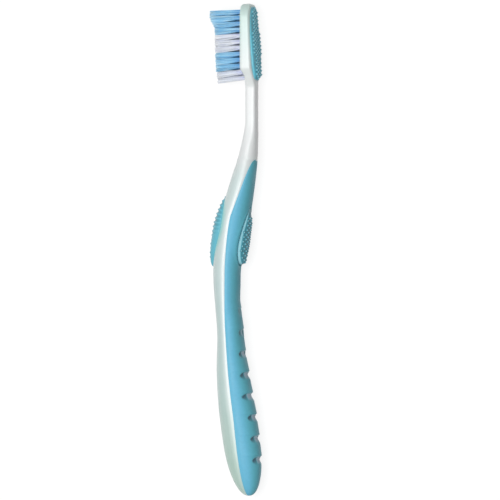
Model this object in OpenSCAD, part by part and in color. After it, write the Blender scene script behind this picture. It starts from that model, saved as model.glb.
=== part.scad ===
// Manual toothbrush lying on its side. The head points along -Y and the bristles along +X.
// The hard body, the back grip and the pads share one grid of section points, so each
// soft part seats face to face in its own recess.
// Along the brush, every place is measured from the head's tip.

/* [Head] */
// Length of the full-width part of the head
head_len = 24.5; // [23:0.5:27]
// Width of the head
head_w = 12.6; // [11.6:0.1:13.6]
// Thickness of the head plate at the toe
head_t = 4; // [3.8:0.1:4.6]
// Thickness of the head plate where the heel begins
heel_t = 5; // [4.4:0.1:5.6]
// Squareness of the head's cross-section, where 2 is an ellipse
head_square = 5; // [4:0.5:6]
// Radius that rounds the toe, seen from the front
toe_r = 6; // [4:0.5:8]
// Radius that rounds the toe's edge, seen from the side
toe_edge_r = 1.4; // [0.8:0.1:2]
// Length over which the heel narrows to the neck
heel_len = 8.5; // [7.5:0.5:12]
// Length over which the heel's front steps back to the neck's front
heel_step_len = 3.8; // [3:0.1:5]
// Width at the end of that step
heel_step_w = 9.2; // [8.4:0.1:10]
// Thickness at the end of that step
heel_step_t = 4.1; // [3.7:0.1:4.6]

/* [Neck] */
// Length of the straight part of the neck
neck_len = 12; // [8:0.5:18]
// Width of the neck
neck_w = 5.2; // [4.6:0.1:6]
// Thickness of the neck
neck_t = 4.3; // [3.8:0.1:5]
// How far the neck's front lies behind the head plate's front
neck_back = 1.3; // [0.8:0.1:1.8]
// Squareness of the neck's cross-section, where 2 is an ellipse
neck_square = 3; // [2.2:0.1:4]

/* [Handle] */
// Squareness of the handle's cross-section, where 2 is an ellipse
handle_square = 2.25; // [2:0.05:2.6]
// Length from the neck to the throat
throat_len = 11; // [9:0.5:14]
// Width of the throat
throat_w = 7.8; // [7:0.1:8.6]
// Thickness of the throat
throat_t = 6.6; // [6:0.1:7.4]
// How far the throat's middle lies in front of the toe's middle
throat_x = -0.4; // [-0.9:0.1:0.1]
// Length from the throat to the shoulder
shoulder_len = 14; // [12:0.5:17]
// Width of the shoulder
shoulder_w = 11.8; // [11:0.1:12.6]
// Thickness of the shoulder
shoulder_t = 9.5; // [8.9:0.1:10.1]
// How far the shoulder's middle lies in front of the toe's middle
shoulder_x = 2.5; // [1.8:0.1:3.2]
// Length from the shoulder to the middle of the thumb zone
thumb_zone_len = 16; // [14:0.5:19]
// Width of the thumb zone
thumb_zone_w = 13.4; // [12.6:0.1:14]
// Thickness of the thumb zone without its pads
thumb_zone_t = 11.6; // [10.8:0.1:12.2]
// How far the thumb zone's middle lies in front of the toe's middle
thumb_zone_x = 6.05; // [5.35:0.05:6.75]
// Length from the middle of the thumb zone to the waist
waist_len = 19; // [18:0.5:22]
// Width of the waist
waist_w = 12.5; // [11.7:0.1:13.1]
// Thickness of the waist
waist_t = 10.1; // [9.3:0.1:10.7]
// How far the waist's middle lies in front of the toe's middle
waist_x = 8.6; // [7.9:0.1:9.2]
// Length from the waist to the hollow in the handle's front
hollow_len = 21; // [19:0.5:23]
// Width at the hollow
hollow_w = 12.5; // [11.8:0.1:13.1]
// Thickness at the hollow
hollow_t = 9.3; // [8.8:0.1:10]
// How far the middle at the hollow lies in front of the toe's middle
hollow_x = 7.45; // [6.85:0.05:8.05]
// Length from the hollow to the middle of the lower handle
lower_len = 17; // [15:0.5:19]
// Width of the middle of the lower handle
lower_w = 13.1; // [12.4:0.1:13.6]
// Thickness of the middle of the lower handle
lower_t = 12.3; // [11.6:0.1:12.9]
// How far the lower handle's middle lies in front of the toe's middle
lower_x = 6.15; // [5.55:0.05:6.75]
// Length from the middle of the lower handle to the belly
belly_len = 18.5; // [17:0.5:21]
// Width of the belly
belly_w = 13.5; // [12.8:0.1:14]
// Thickness of the belly
belly_t = 14.2; // [13:0.1:14.8]
// How far the belly's middle lies in front of the toe's middle
belly_x = 3.8; // [3:0.1:4.6]
// Length from the belly to the end of the tail
tail_len = 28.5; // [26:0.5:32]
// Width that the tail's outline aims at before it is rounded off
tail_w = 12.2; // [11:0.1:13]
// Thickness that the tail's outline aims at before it is rounded off
tail_t = 13.2; // [12.4:0.1:14]
// How far the tail's end lies in front of the toe's middle
tail_x = -0.2; // [-0.9:0.1:0.5]
// Length over which the tail is rounded off
tail_r = 20; // [16:0.5:24]

/* [Back grip] */
// Where the grip's pointed upper end begins
grip_start = 60; // [58:0.5:63]
// Thickness of the grip
grip_t = 1.8; // [1.4:0.1:2.2]
// Thickness of the grip at its upper end
grip_tip_t = 0.8; // [0.6:0.1:1]
// Angle of the parting line from the front at the grip's upper end
part_angle_tip = 168; // [160:1:170]
// Length over which the upper end opens to its full width
grip_sweep = 22; // [18:1:26]
// Angle of the parting line from the front in the thumb zone
part_angle_thumb = 88; // [84:1:94]
// Angle of the parting line from the front at the waist
part_angle_waist = 97; // [92:1:102]
// Angle of the parting line from the front at the belly
part_angle_belly = 90; // [86:1:94]
// Angle of the parting line from the front at the tail
part_angle_tail = 84; // [80:1:90]
// Number of cross notches
notch_count = 8; // [5:1:8]
// Where the first notch has its middle
notch_first = 118.6; // [117:0.2:121]
// Distance from notch to notch
notch_pitch = 8.16; // [7.6:0.02:8.3]
// Length of a notch along the handle
notch_len = 3.4; // [2.6:0.1:4]
// Depth of a notch
notch_depth = 0.85; // [0.5:0.05:1.1]
// Half width of the first notch
notch_w_first = 2.3; // [1.8:0.1:3]
// Half width of the full notches
notch_w_full = 4.6; // [4:0.1:4.9]
// How far the grip swells before each notch
notch_swell = 0.25; // [0:0.05:0.4]

/* [Thumb pad] */
// Where the thumb pad begins
thumb_start = 74.3; // [73:0.1:76]
// Length of the thumb pad
thumb_len = 27.2; // [24:0.1:28]
// Half width of the thumb pad
thumb_half_w = 5.8; // [4.8:0.1:5.9]
// Depth of its recess in the body
thumb_depth = 1.2; // [0.8:0.1:1.6]
// How far its crest stands above the body
thumb_rise = 1.7; // [1:0.1:2.2]
// Height of its nubs
thumb_nub_h = 0.45; // [0.3:0.05:0.7]
// Distance between its rows of nubs
thumb_nub_pitch = 1.65; // [1.5:0.05:2]
// Radius of the two feed posts
post_r = 1.2; // [0.8:0.1:1.5]
// Distance between the feed posts
post_gap = 10; // [7:0.5:12]

/* [Palm pad] */
// Where the oval recess of the palm pad begins
palm_start = 78.5; // [77:0.1:80]
// Length of the recess
palm_len = 22.8; // [20:0.1:24]
// Half width of the recess
palm_half_w = 4.4; // [3.8:0.1:4.8]
// Depth of the recess in the grip
palm_depth = 0.7; // [0.4:0.05:0.9]
// Width of the groove left around the pad
palm_groove = 0.7; // [0.5:0.05:0.9]
// How far the pad's crest stands above the grip
palm_rise = 1.4; // [1:0.1:2]
// Length over which the pad rises from its upper end
palm_lead = 5; // [4:0.5:8]
// Length over which it falls to its lower end
palm_drop = 2; // [1.5:0.5:4]
// Height of its nubs
palm_nub_h = 0.4; // [0.3:0.05:0.6]
// Distance between its rows of nubs
palm_nub_pitch = 1.75; // [1.5:0.05:2.2]

/* [Tongue cleaner] */
// Where the tongue cleaner begins
cleaner_start = 1.2; // [1:0.1:2]
// Length of the tongue cleaner
cleaner_len = 28.4; // [24:0.1:30]
// Half width of the tongue cleaner
cleaner_half_w = 5.2; // [4.4:0.1:5.5]
// Depth of its recess in the head
cleaner_depth = 0.4; // [0.3:0.05:0.5]
// How far its rim stands above the head
cleaner_rim = 0.35; // [0.2:0.05:0.6]
// How far its crest stands above the head
cleaner_rise = 1; // [0.7:0.05:1.3]
// Length over which its crest rises from the toe
cleaner_lead = 16; // [12:0.5:20]
// Length over which its crest falls towards the heel
cleaner_drop = 4; // [3:0.5:7]
// Height of its nubs
cleaner_nub_h = 0.6; // [0.4:0.05:0.8]
// Distance between its rows of nubs
cleaner_nub_pitch = 1.5; // [1.4:0.05:2]

/* [Nubs] */
// Radius of a nub at its foot
nub_r = 0.5; // [0.35:0.05:0.6]
// Radius of a nub at its tip
nub_tip_r = 0.18; // [0.1:0.02:0.3]

/* [Bristles] */
// Number of cross rows of tufts
row_count = 12; // [10:1:12]
// Distance from the toe to the first row
row_first = 3.1; // [2.9:0.1:3.4]
// Distance from row to row
row_pitch = 2.32; // [2.24:0.02:2.38]
// Distance from tuft to tuft across the head
tuft_pitch = 2.5; // [2.4:0.05:2.6]
// Tufts in a full row
tufts_full = 4; // [3:1:4]
// Tufts in the toe row and in the row where the heel begins
tufts_end = 3; // [2:1:3]
// Tufts in the last row
tufts_last = 2; // [1:1:2]
// Radius of a tuft hole
hole_r = 0.8; // [0.7:0.05:0.85]
// Depth of a tuft hole
hole_depth = 2.9; // [2.4:0.1:3]
// Height of the trimmed field above the head plate
bristle_h = 10.3; // [9:0.1:11]
// How much higher the toe rows stand
toe_h = 2.4; // [0:0.1:3]
// Length over which the toe rows come down to the field
toe_slope_len = 9.5; // [6:0.5:12]
// Strands in a tuft
strand_count = 10; // [7:1:10]
// Radius around a three-sided strand
strand_r = 0.17; // [0.12:0.01:0.18]
// How many times wider a tuft is at its tips
tuft_flare = 1.5; // [1.2:0.05:1.6]
// How far the tips lean towards the handle
tuft_lean = 0.7; // [0:0.1:1]
// How far the tips of the two heel rows lean towards the handle
heel_lean = 1.5; // [0.8:0.1:2.2]

/* [Tuft anchors] */
// Length of an anchor across its hole
anchor_len = 2; // [1.9:0.05:2.1]
// Height of an anchor
anchor_h = 1.4; // [1:0.1:1.6]
// Thickness of an anchor
anchor_t = 0.35; // [0.25:0.05:0.45]

/* [Hidden] */
// Clearance around a tuft's root and its anchor
tuft_gap = 0.02;
// Clearance between the posts' ends and the grip
post_end_gap = 0.15;
// Shortest step from a full section to a recessed one
step = 0.05;
// Angle over which a recess wall drops
wall_angle = 2;
// Least angle of a recess to each side of the front or the back
least_angle = 9;
// Angle of the front stretch of a section where there is no thumb pad
plain_front_angle = 30;
// Share of the half width that the back stretch takes where there is no pad or notch
plain_back_share = 0.25;
// Length over which those two come in beside a recess
blend_len = 9;
// Least width of the hard rim left beside the tongue cleaner
rim_w = 0.35;
// Least distance from a nub's foot to the edge of its pad
nub_margin = 0.3;
// Flat left at the toe's and the tail's ends
end_flat = 0.15;
// How far nubs, posts and strands reach into what carries them
sunk = 0.3;
// How far the thumb pad and the palm pad stand proud at their edges
pad_edge = 0.1;
// Exponents of the pads' leaf outlines at the end near the head and at the other end
thumb_leaf = [0.45, 0.65];
thumb_crest_leaf = [0.75, 0.3];
palm_leaf = [0.7, 0.5];
cleaner_leaf = [0.28, 0.28];
// Shares of the full depth that the first notches have
first_notch_shares = [0.4, 0.8];
// Share of its width that a notch has at both ends
notch_end_share = 0.6;
// Shares of its length over which a notch drops, and over which it rises again
notch_drop = 0.2;
notch_climb = 0.6;
// Slope at which the grip grows thicker from its tip
grip_slope = 0.1;
// Largest share of the half thickness that the grip takes
grip_share = 0.45;
// Distances of the inner and the outer strands from the middle of their tuft
inner_spot = 0.24;
outer_spot = 0.58;
// How much the strands' lengths differ
trim_uneven = 0.15;

// Places along the brush
heel_at = head_len;
step_at = heel_at + heel_step_len;
neck_at = heel_at + heel_len;
neck_end = neck_at + neck_len;
throat_at = neck_end + throat_len;
shoulder_at = throat_at + shoulder_len;
thumb_zone_at = shoulder_at + thumb_zone_len;
waist_at = thumb_zone_at + waist_len;
hollow_at = waist_at + hollow_len;
lower_at = hollow_at + lower_len;
belly_at = lower_at + belly_len;
brush_len = belly_at + tail_len;
neck_front = head_t / 2 - neck_back;
neck_x = neck_front - neck_t / 2;
thumb_end = thumb_start + thumb_len;
palm_end = palm_start + palm_len;
cleaner_end = cleaner_start + cleaner_len;

// Place, middle, half thickness, half width and squareness of each station
stations = [
    [0, 0, head_t / 2, head_w / 2, head_square],
    [heel_at, (head_t - heel_t) / 2, heel_t / 2, head_w / 2, head_square],
    [step_at, neck_front - heel_step_t / 2, heel_step_t / 2, heel_step_w / 2,
     (head_square + neck_square) / 2],
    [neck_at, neck_x, neck_t / 2, neck_w / 2, neck_square],
    [neck_end, neck_x, neck_t / 2, neck_w / 2, neck_square],
    [throat_at, throat_x, throat_t / 2, throat_w / 2, handle_square],
    [shoulder_at, shoulder_x, shoulder_t / 2, shoulder_w / 2, handle_square],
    [thumb_zone_at, thumb_zone_x, thumb_zone_t / 2, thumb_zone_w / 2, handle_square],
    [waist_at, waist_x, waist_t / 2, waist_w / 2, handle_square],
    [hollow_at, hollow_x, hollow_t / 2, hollow_w / 2, handle_square],
    [lower_at, lower_x, lower_t / 2, lower_w / 2, handle_square],
    [belly_at, belly_x, belly_t / 2, belly_w / 2, handle_square],
    [brush_len, tail_x, tail_t / 2, tail_w / 2, handle_square]
];
last_station = len(stations) - 1;

function lerp(a, b, f) = a + (b - a) * f;
function clamp(v, low, high) = max(low, min(high, v));
function smooth(f) = let(c = clamp(f, 0, 1)) c * c * (3 - 2 * c);

// Smooth curve through one column of the stations, straight along the head and with no overshoot
function secant(i, c) =
    (stations[i + 1][c] - stations[i][c]) / (stations[i + 1][0] - stations[i][0]);
function tangent(i, c) =
    i <= 1 ? secant(0, c) :
    i == last_station ? secant(i - 1, c) :
    let(before = secant(i - 1, c), after = secant(i, c))
    before * after <= 0 ? 0 : 2 * before * after / (before + after);
function span_of(s, i = 0) =
    i >= last_station - 1 || s <= stations[i + 1][0] ? i : span_of(s, i + 1);
function along(s, c) =
    let(i = span_of(s),
        h = stations[i + 1][0] - stations[i][0],
        f = clamp((s - stations[i][0]) / h, 0, 1))
    stations[i][c] * (1 + 2 * f) * (1 - f) * (1 - f)
    + tangent(i, c) * h * f * (1 - f) * (1 - f)
    + stations[i + 1][c] * f * f * (3 - 2 * f)
    + tangent(i + 1, c) * h * f * f * (f - 1);

// Rounding off at both ends
function rounded(d, r, power) =
    d + end_flat >= r ? 1 : pow(1 - pow(1 - (d + end_flat) / r, power), 1 / power);
function tail_round(s) = rounded(brush_len - s, tail_r, 2.2);
function middle(s) = along(s, 1);
function half_t(s) = along(s, 2) * rounded(s, toe_edge_r, 3) * tail_round(s);
function half_w(s) = along(s, 3) * rounded(s, toe_r, 2.3) * tail_round(s);
function square_at(s) = along(s, 4);

// Outline from 0 over 1 to 0 along a pad; the smaller an end's exponent, the blunter it is
function leaf(s, start, length, ends) =
    let(u = clamp((s - start) / length, 0, 1), peak = ends[0] / (ends[0] + ends[1]))
    pow(u / peak, ends[0]) * pow((1 - u) / (1 - peak), ends[1]);

// Half widths of the pads and notches along the brush
function thumb_w(s) = thumb_half_w * leaf(s, thumb_start, thumb_len, thumb_leaf);
function palm_w(s) = palm_half_w * leaf(s, palm_start, palm_len, palm_leaf);
function cleaner_w(s) =
    min(cleaner_half_w * leaf(s, cleaner_start, cleaner_len, cleaner_leaf), half_w(s) - rim_w);
function notch_at(k) = notch_first + k * notch_pitch;
function notch_full_w(k) = lerp(notch_w_first, notch_w_full, min(1, k / 4));
function notch_share(k) = k < len(first_notch_shares) ? first_notch_shares[k] : 1;

// The notch that a place belongs to, and the place's share of that notch's length
function nearest_notch(s) = clamp(round((s - notch_first) / notch_pitch), 0, notch_count - 1);
function notch_u(s) = (s - notch_at(nearest_notch(s))) / notch_len + 0.5;
function notch_w(s) =
    let(u = notch_u(s))
    notch_full_w(nearest_notch(s))
    * (u < 0 || u > 1 ? notch_end_share : lerp(notch_end_share, 1, sin(180 * u)));
function notch_shape(u) =
    u <= 0 || u >= 1 ? 0 : u < notch_drop ? u / notch_drop : smooth((1 - u) / notch_climb);
function notch_cut(s) =
    notch_depth * notch_share(nearest_notch(s)) * notch_shape(notch_u(s));
function swell(s) =
    let(f = (s - notch_first + notch_len / 2) / notch_pitch,
        near = smooth((s - notch_first) / notch_pitch + 1)
               * smooth((notch_at(notch_count) - s) / notch_pitch))
    notch_swell * near * pow(f - floor(f), 2);

// Angles that bound the recesses, turned from the front round to the back
function angle_for(w, s) =
    asin(pow(clamp(w / half_w(s), 0.02, 0.98), square_at(s) / 2));
function inside(s, low, high) = s >= low - 0.001 && s <= high + 0.001;
function away(s, ends) = min([for (e = ends) abs(s - e)]);
function front_angle(s) =
    inside(s, thumb_start, thumb_end) ? max(least_angle, angle_for(thumb_w(s), s)) :
    lerp(least_angle, plain_front_angle, smooth(away(s, [thumb_start, thumb_end]) / blend_len));
function part_base(s) =
    s < waist_at ?
        lerp(part_angle_thumb, part_angle_waist, smooth((s - thumb_zone_at) / waist_len)) :
    s < belly_at ?
        lerp(part_angle_waist, part_angle_belly, smooth((s - waist_at) / hollow_len)) :
    lerp(part_angle_belly, part_angle_tail, (s - belly_at) / tail_len);
function part_angle(s) =
    s < heel_at ? part_base(heel_at) :
    s < grip_start ? lerp(part_base(s), part_angle_tip, (s - heel_at) / (grip_start - heel_at)) :
    lerp(part_angle_tip, part_base(s), pow(clamp((s - grip_start) / grip_sweep, 0, 1), 0.35));
function back_width(s) =
    inside(s, cleaner_start, cleaner_end) ? cleaner_w(s) :
    inside(s, palm_start, palm_end) ? palm_w(s) :
    s > notch_first - notch_pitch ? notch_w(s) :
    plain_back_share * half_w(s)
    * smooth(away(s, [cleaner_start, cleaner_end, palm_start, palm_end]) / blend_len);
function back_angle(s) =
    clamp(180 - angle_for(back_width(s), s), part_angle(s) + 2 * wall_angle, 180 - least_angle);
function groove_angle(s) =
    min(palm_groove / half_w(s) * 180 / PI, 0.6 * (180 - back_angle(s) - wall_angle));

// Segments in each stretch of a section: front pad, side, back and the window in the back
front_n = 6;
side_n = 5;
back_n = 3;
window_n = 4;
// First point of each stretch, and the number of points in a section
side_i = front_n + 1;
back_i = side_i + side_n + 1;
window_i = back_i + back_n + 1;
back_2_i = window_i + window_n + 3;
side_2_i = back_2_i + back_n + 1;
ring_n = side_2_i + side_n + 1;

function even(a, b, n) = [for (j = [0 : n]) lerp(a, b, j / n)];
function section_angles(s) =
    let(f = front_angle(s), p = part_angle(s), b = back_angle(s), e = wall_angle,
        g = groove_angle(s))
    concat(
        even(-f, f, front_n),
        even(f + e, p, side_n),
        even(p + e, b, back_n),
        [b + e],
        even(b + e + g, 360 - b - e - g, window_n),
        [360 - b - e],
        even(360 - b, 360 - p - e, back_n),
        even(360 - p, 360 - f - e, side_n)
    );

// A point of the section at place s, turned by angle t and lying a depth d under the skin
function power_of(v, q) = sign(v) * pow(abs(v), q);
function skin(s, t, d) =
    let(q = 2 / square_at(s))
    [middle(s) + (half_t(s) - d) * power_of(cos(t), q), s,
     (half_w(s) - d) * power_of(sin(t), q)];
function outward(s, t) =
    let(v = [cos(t) / half_t(s), 0, sin(t) / half_w(s)]) v / norm(v);

// Depth of the grip's recess in the body
function grip_depth(s) =
    min(grip_t, grip_tip_t + grip_slope * (s - grip_start), grip_share * half_t(s));
function grip_on(s) = s >= grip_start + step - 0.001;
function thumb_on(s) = inside(s, thumb_start + step, thumb_end - step);
function palm_on(s) = inside(s, palm_start + step, palm_end - step);
function cleaner_on(s) = inside(s, cleaner_start + step, cleaner_end - step);
function in_stretch(k, first, n) = k >= first && k <= first + n;
function body_depth(s, k) =
    k < side_i ? (thumb_on(s) ? thumb_depth : 0) :
    in_stretch(k, window_i, window_n + 2) ?
        (grip_on(s) ? grip_depth(s) : cleaner_on(s) ? cleaner_depth : 0) :
    in_stretch(k, back_i, back_n) || in_stretch(k, back_2_i, back_n) ?
        (grip_on(s) ? grip_depth(s) : 0) :
    0;

// Feed posts, and the grip's inner face beside them
post_places = [for (side = [-1, 1]) (thumb_start + thumb_end + side * post_gap) / 2];
function grip_floor(s) = skin(s, 180 - angle_for(post_r, s), grip_depth(s))[0];

// Places of the sections, in order and without doubles
function tidy(v) = round(v * 100) / 100;
function sorted(v) =
    len(v) < 2 ? v :
    let(p = v[floor(len(v) / 2)])
    concat(sorted([for (x = v) if (x < p) x]), [p], sorted([for (x = v) if (x > p) x]));
function pad_places(start, length, n) =
    concat([start, start + step, start + length - step, start + length],
           [for (j = [1 : n]) start + length * (1 - cos(180 * j / (n + 1))) / 2]);
function between(v, low, high) = [for (s = v) if (inside(s, low, high)) s];

body_places = sorted([for (s = concat(
    [0, 0.15, 0.5, 2.4, 3.6, 5.2],
    pad_places(cleaner_start, cleaner_len, 11),
    even(heel_at, step_at, 2),
    even(step_at, neck_at, 2),
    even(neck_at, neck_end, 2),
    even(neck_end, throat_at, 3),
    [grip_start, grip_start + step, grip_start + 0.5, grip_start + 1.6, grip_start + 3.6,
     grip_start + 7],
    even(throat_at, shoulder_at, 3),
    pad_places(thumb_start, thumb_len, 9),
    [palm_start, palm_start + step, palm_start + palm_groove,
     palm_end - palm_groove, palm_end - step, palm_end],
    even(thumb_end, waist_at, 2),
    even(waist_at, hollow_at, 4),
    even(hollow_at, lower_at, 3),
    even(lower_at, belly_at, 3),
    even(belly_at, brush_len - tail_r / 2, 4),
    [for (d = [0, 0.4, 1, 2.2, 4, 6.5]) brush_len - d]
)) tidy(s)]);
grip_places = sorted(concat(
    between(body_places, grip_start + step, brush_len),
    [for (k = [0 : notch_count - 1], u = [0, notch_drop, 0.45, 0.75, 1])
        tidy(notch_at(k) + (u - 0.5) * notch_len)]
));

// Where the whole brush is set down: middle of its box over the origin, lowest point at 0
strand_top = head_t / 2 + bristle_h + toe_h;
front_reach = max(concat(
    [strand_top],
    [for (s = body_places)
        middle(s) + half_t(s) + (thumb_on(s) ? pad_edge + thumb_crest(s) + thumb_nub_h : 0)]
));
back_reach = min(concat(
    [for (s = body_places)
        middle(s) - half_t(s) - (cleaner_on(s) ? cleaner_height(s, 180) + cleaner_nub_h : 0)]
));
lift = max([for (s = body_places) half_w(s)]);
home = [-(front_reach + back_reach) / 2, -brush_len / 2, lift];

// Heights of the pads above the skin
function thumb_crest(s) = thumb_rise * leaf(s, thumb_start, thumb_len, thumb_crest_leaf);
function thumb_height(s, t) =
    let(across = clamp(abs(t) / (front_angle(s) + wall_angle), 0, 1))
    pad_edge + thumb_crest(s) * (1 - pow(across, 2.5));
function palm_height(s, t) =
    let(across = clamp(abs(180 - t) / (180 - back_angle(s)), 0, 1),
        ends = smooth((s - palm_start) / palm_lead) * smooth((palm_end - s) / palm_drop))
    pad_edge + palm_rise * ends * (1 - 0.7 * pow(across, 2));
function cleaner_height(s, t) =
    let(across = clamp(abs(180 - t) / (180 - back_angle(s)), 0, 1),
        ends = smooth((s - cleaner_start) / cleaner_lead)
               * smooth((cleaner_end - s) / cleaner_drop))
    cleaner_rim + (cleaner_rise - cleaner_rim) * ends * (1 - pow(across, 3));

// Closed solid through whole sections, with a fan on a middle point at each end
module whole_loft(rings, ends) {
    m = len(rings[0]);
    last = len(rings) - 1;
    hub = m * (last + 1);
    points = concat([for (r = rings) each r], ends);
    sides = [for (i = [0 : last - 1], k = [0 : m - 1])
        let(a = i * m + k, b = i * m + (k + 1) % m)
        each [[a, b, b + m], [a, b + m, a + m]]];
    caps = [for (k = [0 : m - 1])
        let(n = (k + 1) % m)
        each [[hub, n, k], [hub + 1, last * m + k, last * m + n]]];
    polyhedron(points, concat(sides, caps), convexity = 8);
}

// Closed solid through band sections, each with an outer row and an inner row of points.
// The outer row may have one point more at each edge.
module band_loft(outers, inners) {
    n = len(inners[0]);
    m = n + len(outers[0]);
    edge = (m - 2 * n) / 2;
    last = len(outers) - 1;
    points = [for (i = [0 : last])
        each concat(outers[i], [for (k = [n - 1 : -1 : 0]) inners[i][k]])];
    sides = [for (i = [0 : last - 1], k = [0 : m - 1])
        let(a = i * m + k, b = i * m + (k + 1) % m)
        each [[a, b, b + m], [a, b + m, a + m]]];
    cap = concat(
        edge == 1 ? [[0, 1, m - 1], [n, n + 1, n + 2]] : [],
        [for (k = [0 : n - 2])
            each [[k + edge, k + edge + 1, m - 2 - k], [k + edge, m - 2 - k, m - 1 - k]]]
    );
    caps = [for (f = cap)
        each [[f[0], f[2], f[1]], [for (v = f) last * m + v]]];
    polyhedron(points, concat(sides, caps), convexity = 8);
}

// Points k = first to final of the section at s, each at the depth that depths gives
function row(s, first, final, depths) =
    let(t = section_angles(s))
    [for (k = [first : final]) skin(s, t[k], depths[k - first])];
function fill(v, n) = [for (j = [1 : n]) v];

// Row on the body's own surface, straight between the body's sections
function place_before(s, i = 0) =
    i >= len(body_places) - 2 || s < body_places[i + 1] ? i : place_before(s, i + 1);
function seat_row(s, first, final, seated) =
    let(i = place_before(s), a = body_places[i], b = body_places[i + 1],
        ra = row(a, first, final, [for (k = [first : final]) seated ? body_depth(a, k) : 0]),
        rb = row(b, first, final, [for (k = [first : final]) seated ? body_depth(b, k) : 0]))
    lerp(ra, rb, clamp((s - a) / (b - a), 0, 1));

// A nub at place s and angle t, standing a given height above depth d
module nub(s, t, d, h) {
    v = outward(s, t);
    translate(skin(s, t, d) - sunk * v)
        rotate([0, atan2(v[0], v[2]), 0])
            cylinder(r1 = nub_r + (nub_r - nub_tip_r) * sunk / h, r2 = nub_tip_r,
                     h = h + sunk, $fn = 24);
}

// Nubs in rows, each row shifted by half a pitch against the one before
function nub_rows(start, length, pitch) =
    let(n = floor(length / pitch) - 1)
    [for (i = [0 : n - 1]) start + length / 2 + (i - (n - 1) / 2) * pitch];
function nub_row(w, pitch, shifted) =
    let(n = floor(w / pitch - (shifted ? 0.5 : 0)))
    n < 0 ? [] : [for (j = [shifted ? -n - 1 : -n : n]) (j + (shifted ? 0.5 : 0)) * pitch];

// Tufts
function row_at(i) = row_first + i * row_pitch;
function tufts_in(i) =
    i == row_count - 1 ? tufts_last : i == 0 || i == row_count - 2 ? tufts_end : tufts_full;
function tuft_z(i) =
    [for (j = [0 : tufts_in(i) - 1]) (j - (tufts_in(i) - 1) / 2) * tuft_pitch];
function front_of(i) = middle(row_at(i)) + along(row_at(i), 2);
function trim_h(i) =
    head_t / 2 - front_of(i) + bristle_h
    + toe_h * (1 - smooth((row_at(i) - row_first) / toe_slope_len));
function lean(i) = i >= row_count - 2 ? heel_lean : tuft_lean;
function tuft_home(i, z) = [front_of(i), row_at(i), z];
function row_name(i) = str("tuft_row_", i < 9 ? "0" : "", i + 1);
function is_blue(i) =
    let(f = (i + 0.5) / row_count) f < 0.37 || (f > 0.6 && f < 0.83);

// Space of an anchor, grown by gap
module anchor_space(gap) {
    translate([-hole_depth + sunk + anchor_h / 2, 0, 0])
        cube([anchor_h + 2 * gap, anchor_t + 2 * gap, anchor_len + 2 * gap], center = true);
}

// Round rod along X from x0 to x1
module rod_x(x0, x1, r) {
    translate([x0, 0, 0])
        rotate([0, 90, 0])
            cylinder(r = r, h = x1 - x0, $fn = 32);
}

// Three-sided strand from its root to its tip
module strand(root, tip, turn) {
    corners = [for (j = [0 : 2]) strand_r * [0, cos(turn + 120 * j), sin(turn + 120 * j)]];
    polyhedron(
        concat([for (c = corners) root + c], [for (c = corners) tip + c]),
        [[0, 1, 2], [3, 5, 4], [0, 4, 1], [0, 3, 4], [1, 5, 2], [1, 4, 5], [2, 3, 0], [2, 5, 3]]
    );
}

// One folded tuft: its root fills the hole round the anchor, and its strands fan out above
module tuft(i) {
    inner_n = 3;
    outer_n = strand_count - inner_n;
    spots = concat(
        [for (j = [0 : inner_n - 1])
            let(t = 360 * j / inner_n + 30) inner_spot * [0, cos(t), sin(t)]],
        [for (j = [0 : outer_n - 1]) let(t = 360 * j / outer_n) outer_spot * [0, cos(t), sin(t)]]
    );
    difference() {
        rod_x(-hole_depth + tuft_gap, 0, hole_r - tuft_gap);
        anchor_space(0);
    }
    for (j = [0 : strand_count - 1]) {
        uneven = trim_uneven * sin(97 * j + 53 * i);
        strand([-sunk, 0, 0] + spots[j],
               [trim_h(i) + uneven, lean(i), 0] + tuft_flare * spots[j], 37 * j);
    }
}

module brush_body() {
    color("mintcream")
    translate(home)
    difference() {
        whole_loft(
            [for (s = body_places)
                row(s, 0, ring_n - 1, [for (k = [0 : ring_n - 1]) body_depth(s, k)])],
            [[middle(0), 0, 0], [middle(brush_len), brush_len, 0]]
        );
        for (i = [0 : row_count - 1], z = tuft_z(i))
            translate(tuft_home(i, z)) {
                rod_x(-hole_depth, 1, hole_r);
                anchor_space(0);
            }
        for (s = post_places)
            translate([0, s, 0])
                rod_x(middle(s) - half_t(s), middle(s) + half_t(s), post_r);
    }
}

module tongue_cleaner() {
    places = between(body_places, cleaner_start + step, cleaner_end - step);
    final = window_i + window_n + 2;
    color([0.43, 0.69, 0.75])
    translate(home) {
        band_loft(
            [for (s = places)
                let(t = section_angles(s))
                concat([skin(s, t[window_i - 1], 0)],
                       [for (k = [window_i : final]) skin(s, t[k], -cleaner_height(s, t[k]))],
                       [skin(s, t[final + 1], 0)])],
            [for (s = places) row(s, window_i, final, fill(cleaner_depth, window_n + 3))]
        );
        rows = nub_rows(cleaner_start, cleaner_len, cleaner_nub_pitch);
        for (i = [0 : len(rows) - 1])
            for (z = nub_row(cleaner_w(rows[i]) - nub_r - nub_margin, cleaner_nub_pitch, i % 2 == 1)) {
                t = 180 - sign(z) * angle_for(abs(z), rows[i]);
                nub(rows[i], t, -cleaner_height(rows[i], t), cleaner_nub_h);
            }
    }
}

module back_grip() {
    last = side_2_i - 1;
    n = last - back_i + 1;
    color([0.37, 0.64, 0.72])
    translate(home)
    band_loft(
        [for (s = grip_places)
            let(t = section_angles(s))
            concat(
                seat_row(s, back_i - 1, back_i - 1, true),
                [for (k = [back_i : last])
                    skin(s, t[k],
                         (in_stretch(k, window_i, window_n + 2) ?
                             (palm_on(s) ? palm_depth : notch_cut(s)) : 0)
                         - swell(s) * (k == back_i || k == last ? 0 : 1))],
                seat_row(s, last + 1, last + 1, true)
            )],
        [for (s = grip_places) seat_row(s, back_i, last, true)]
    );
}

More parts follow.
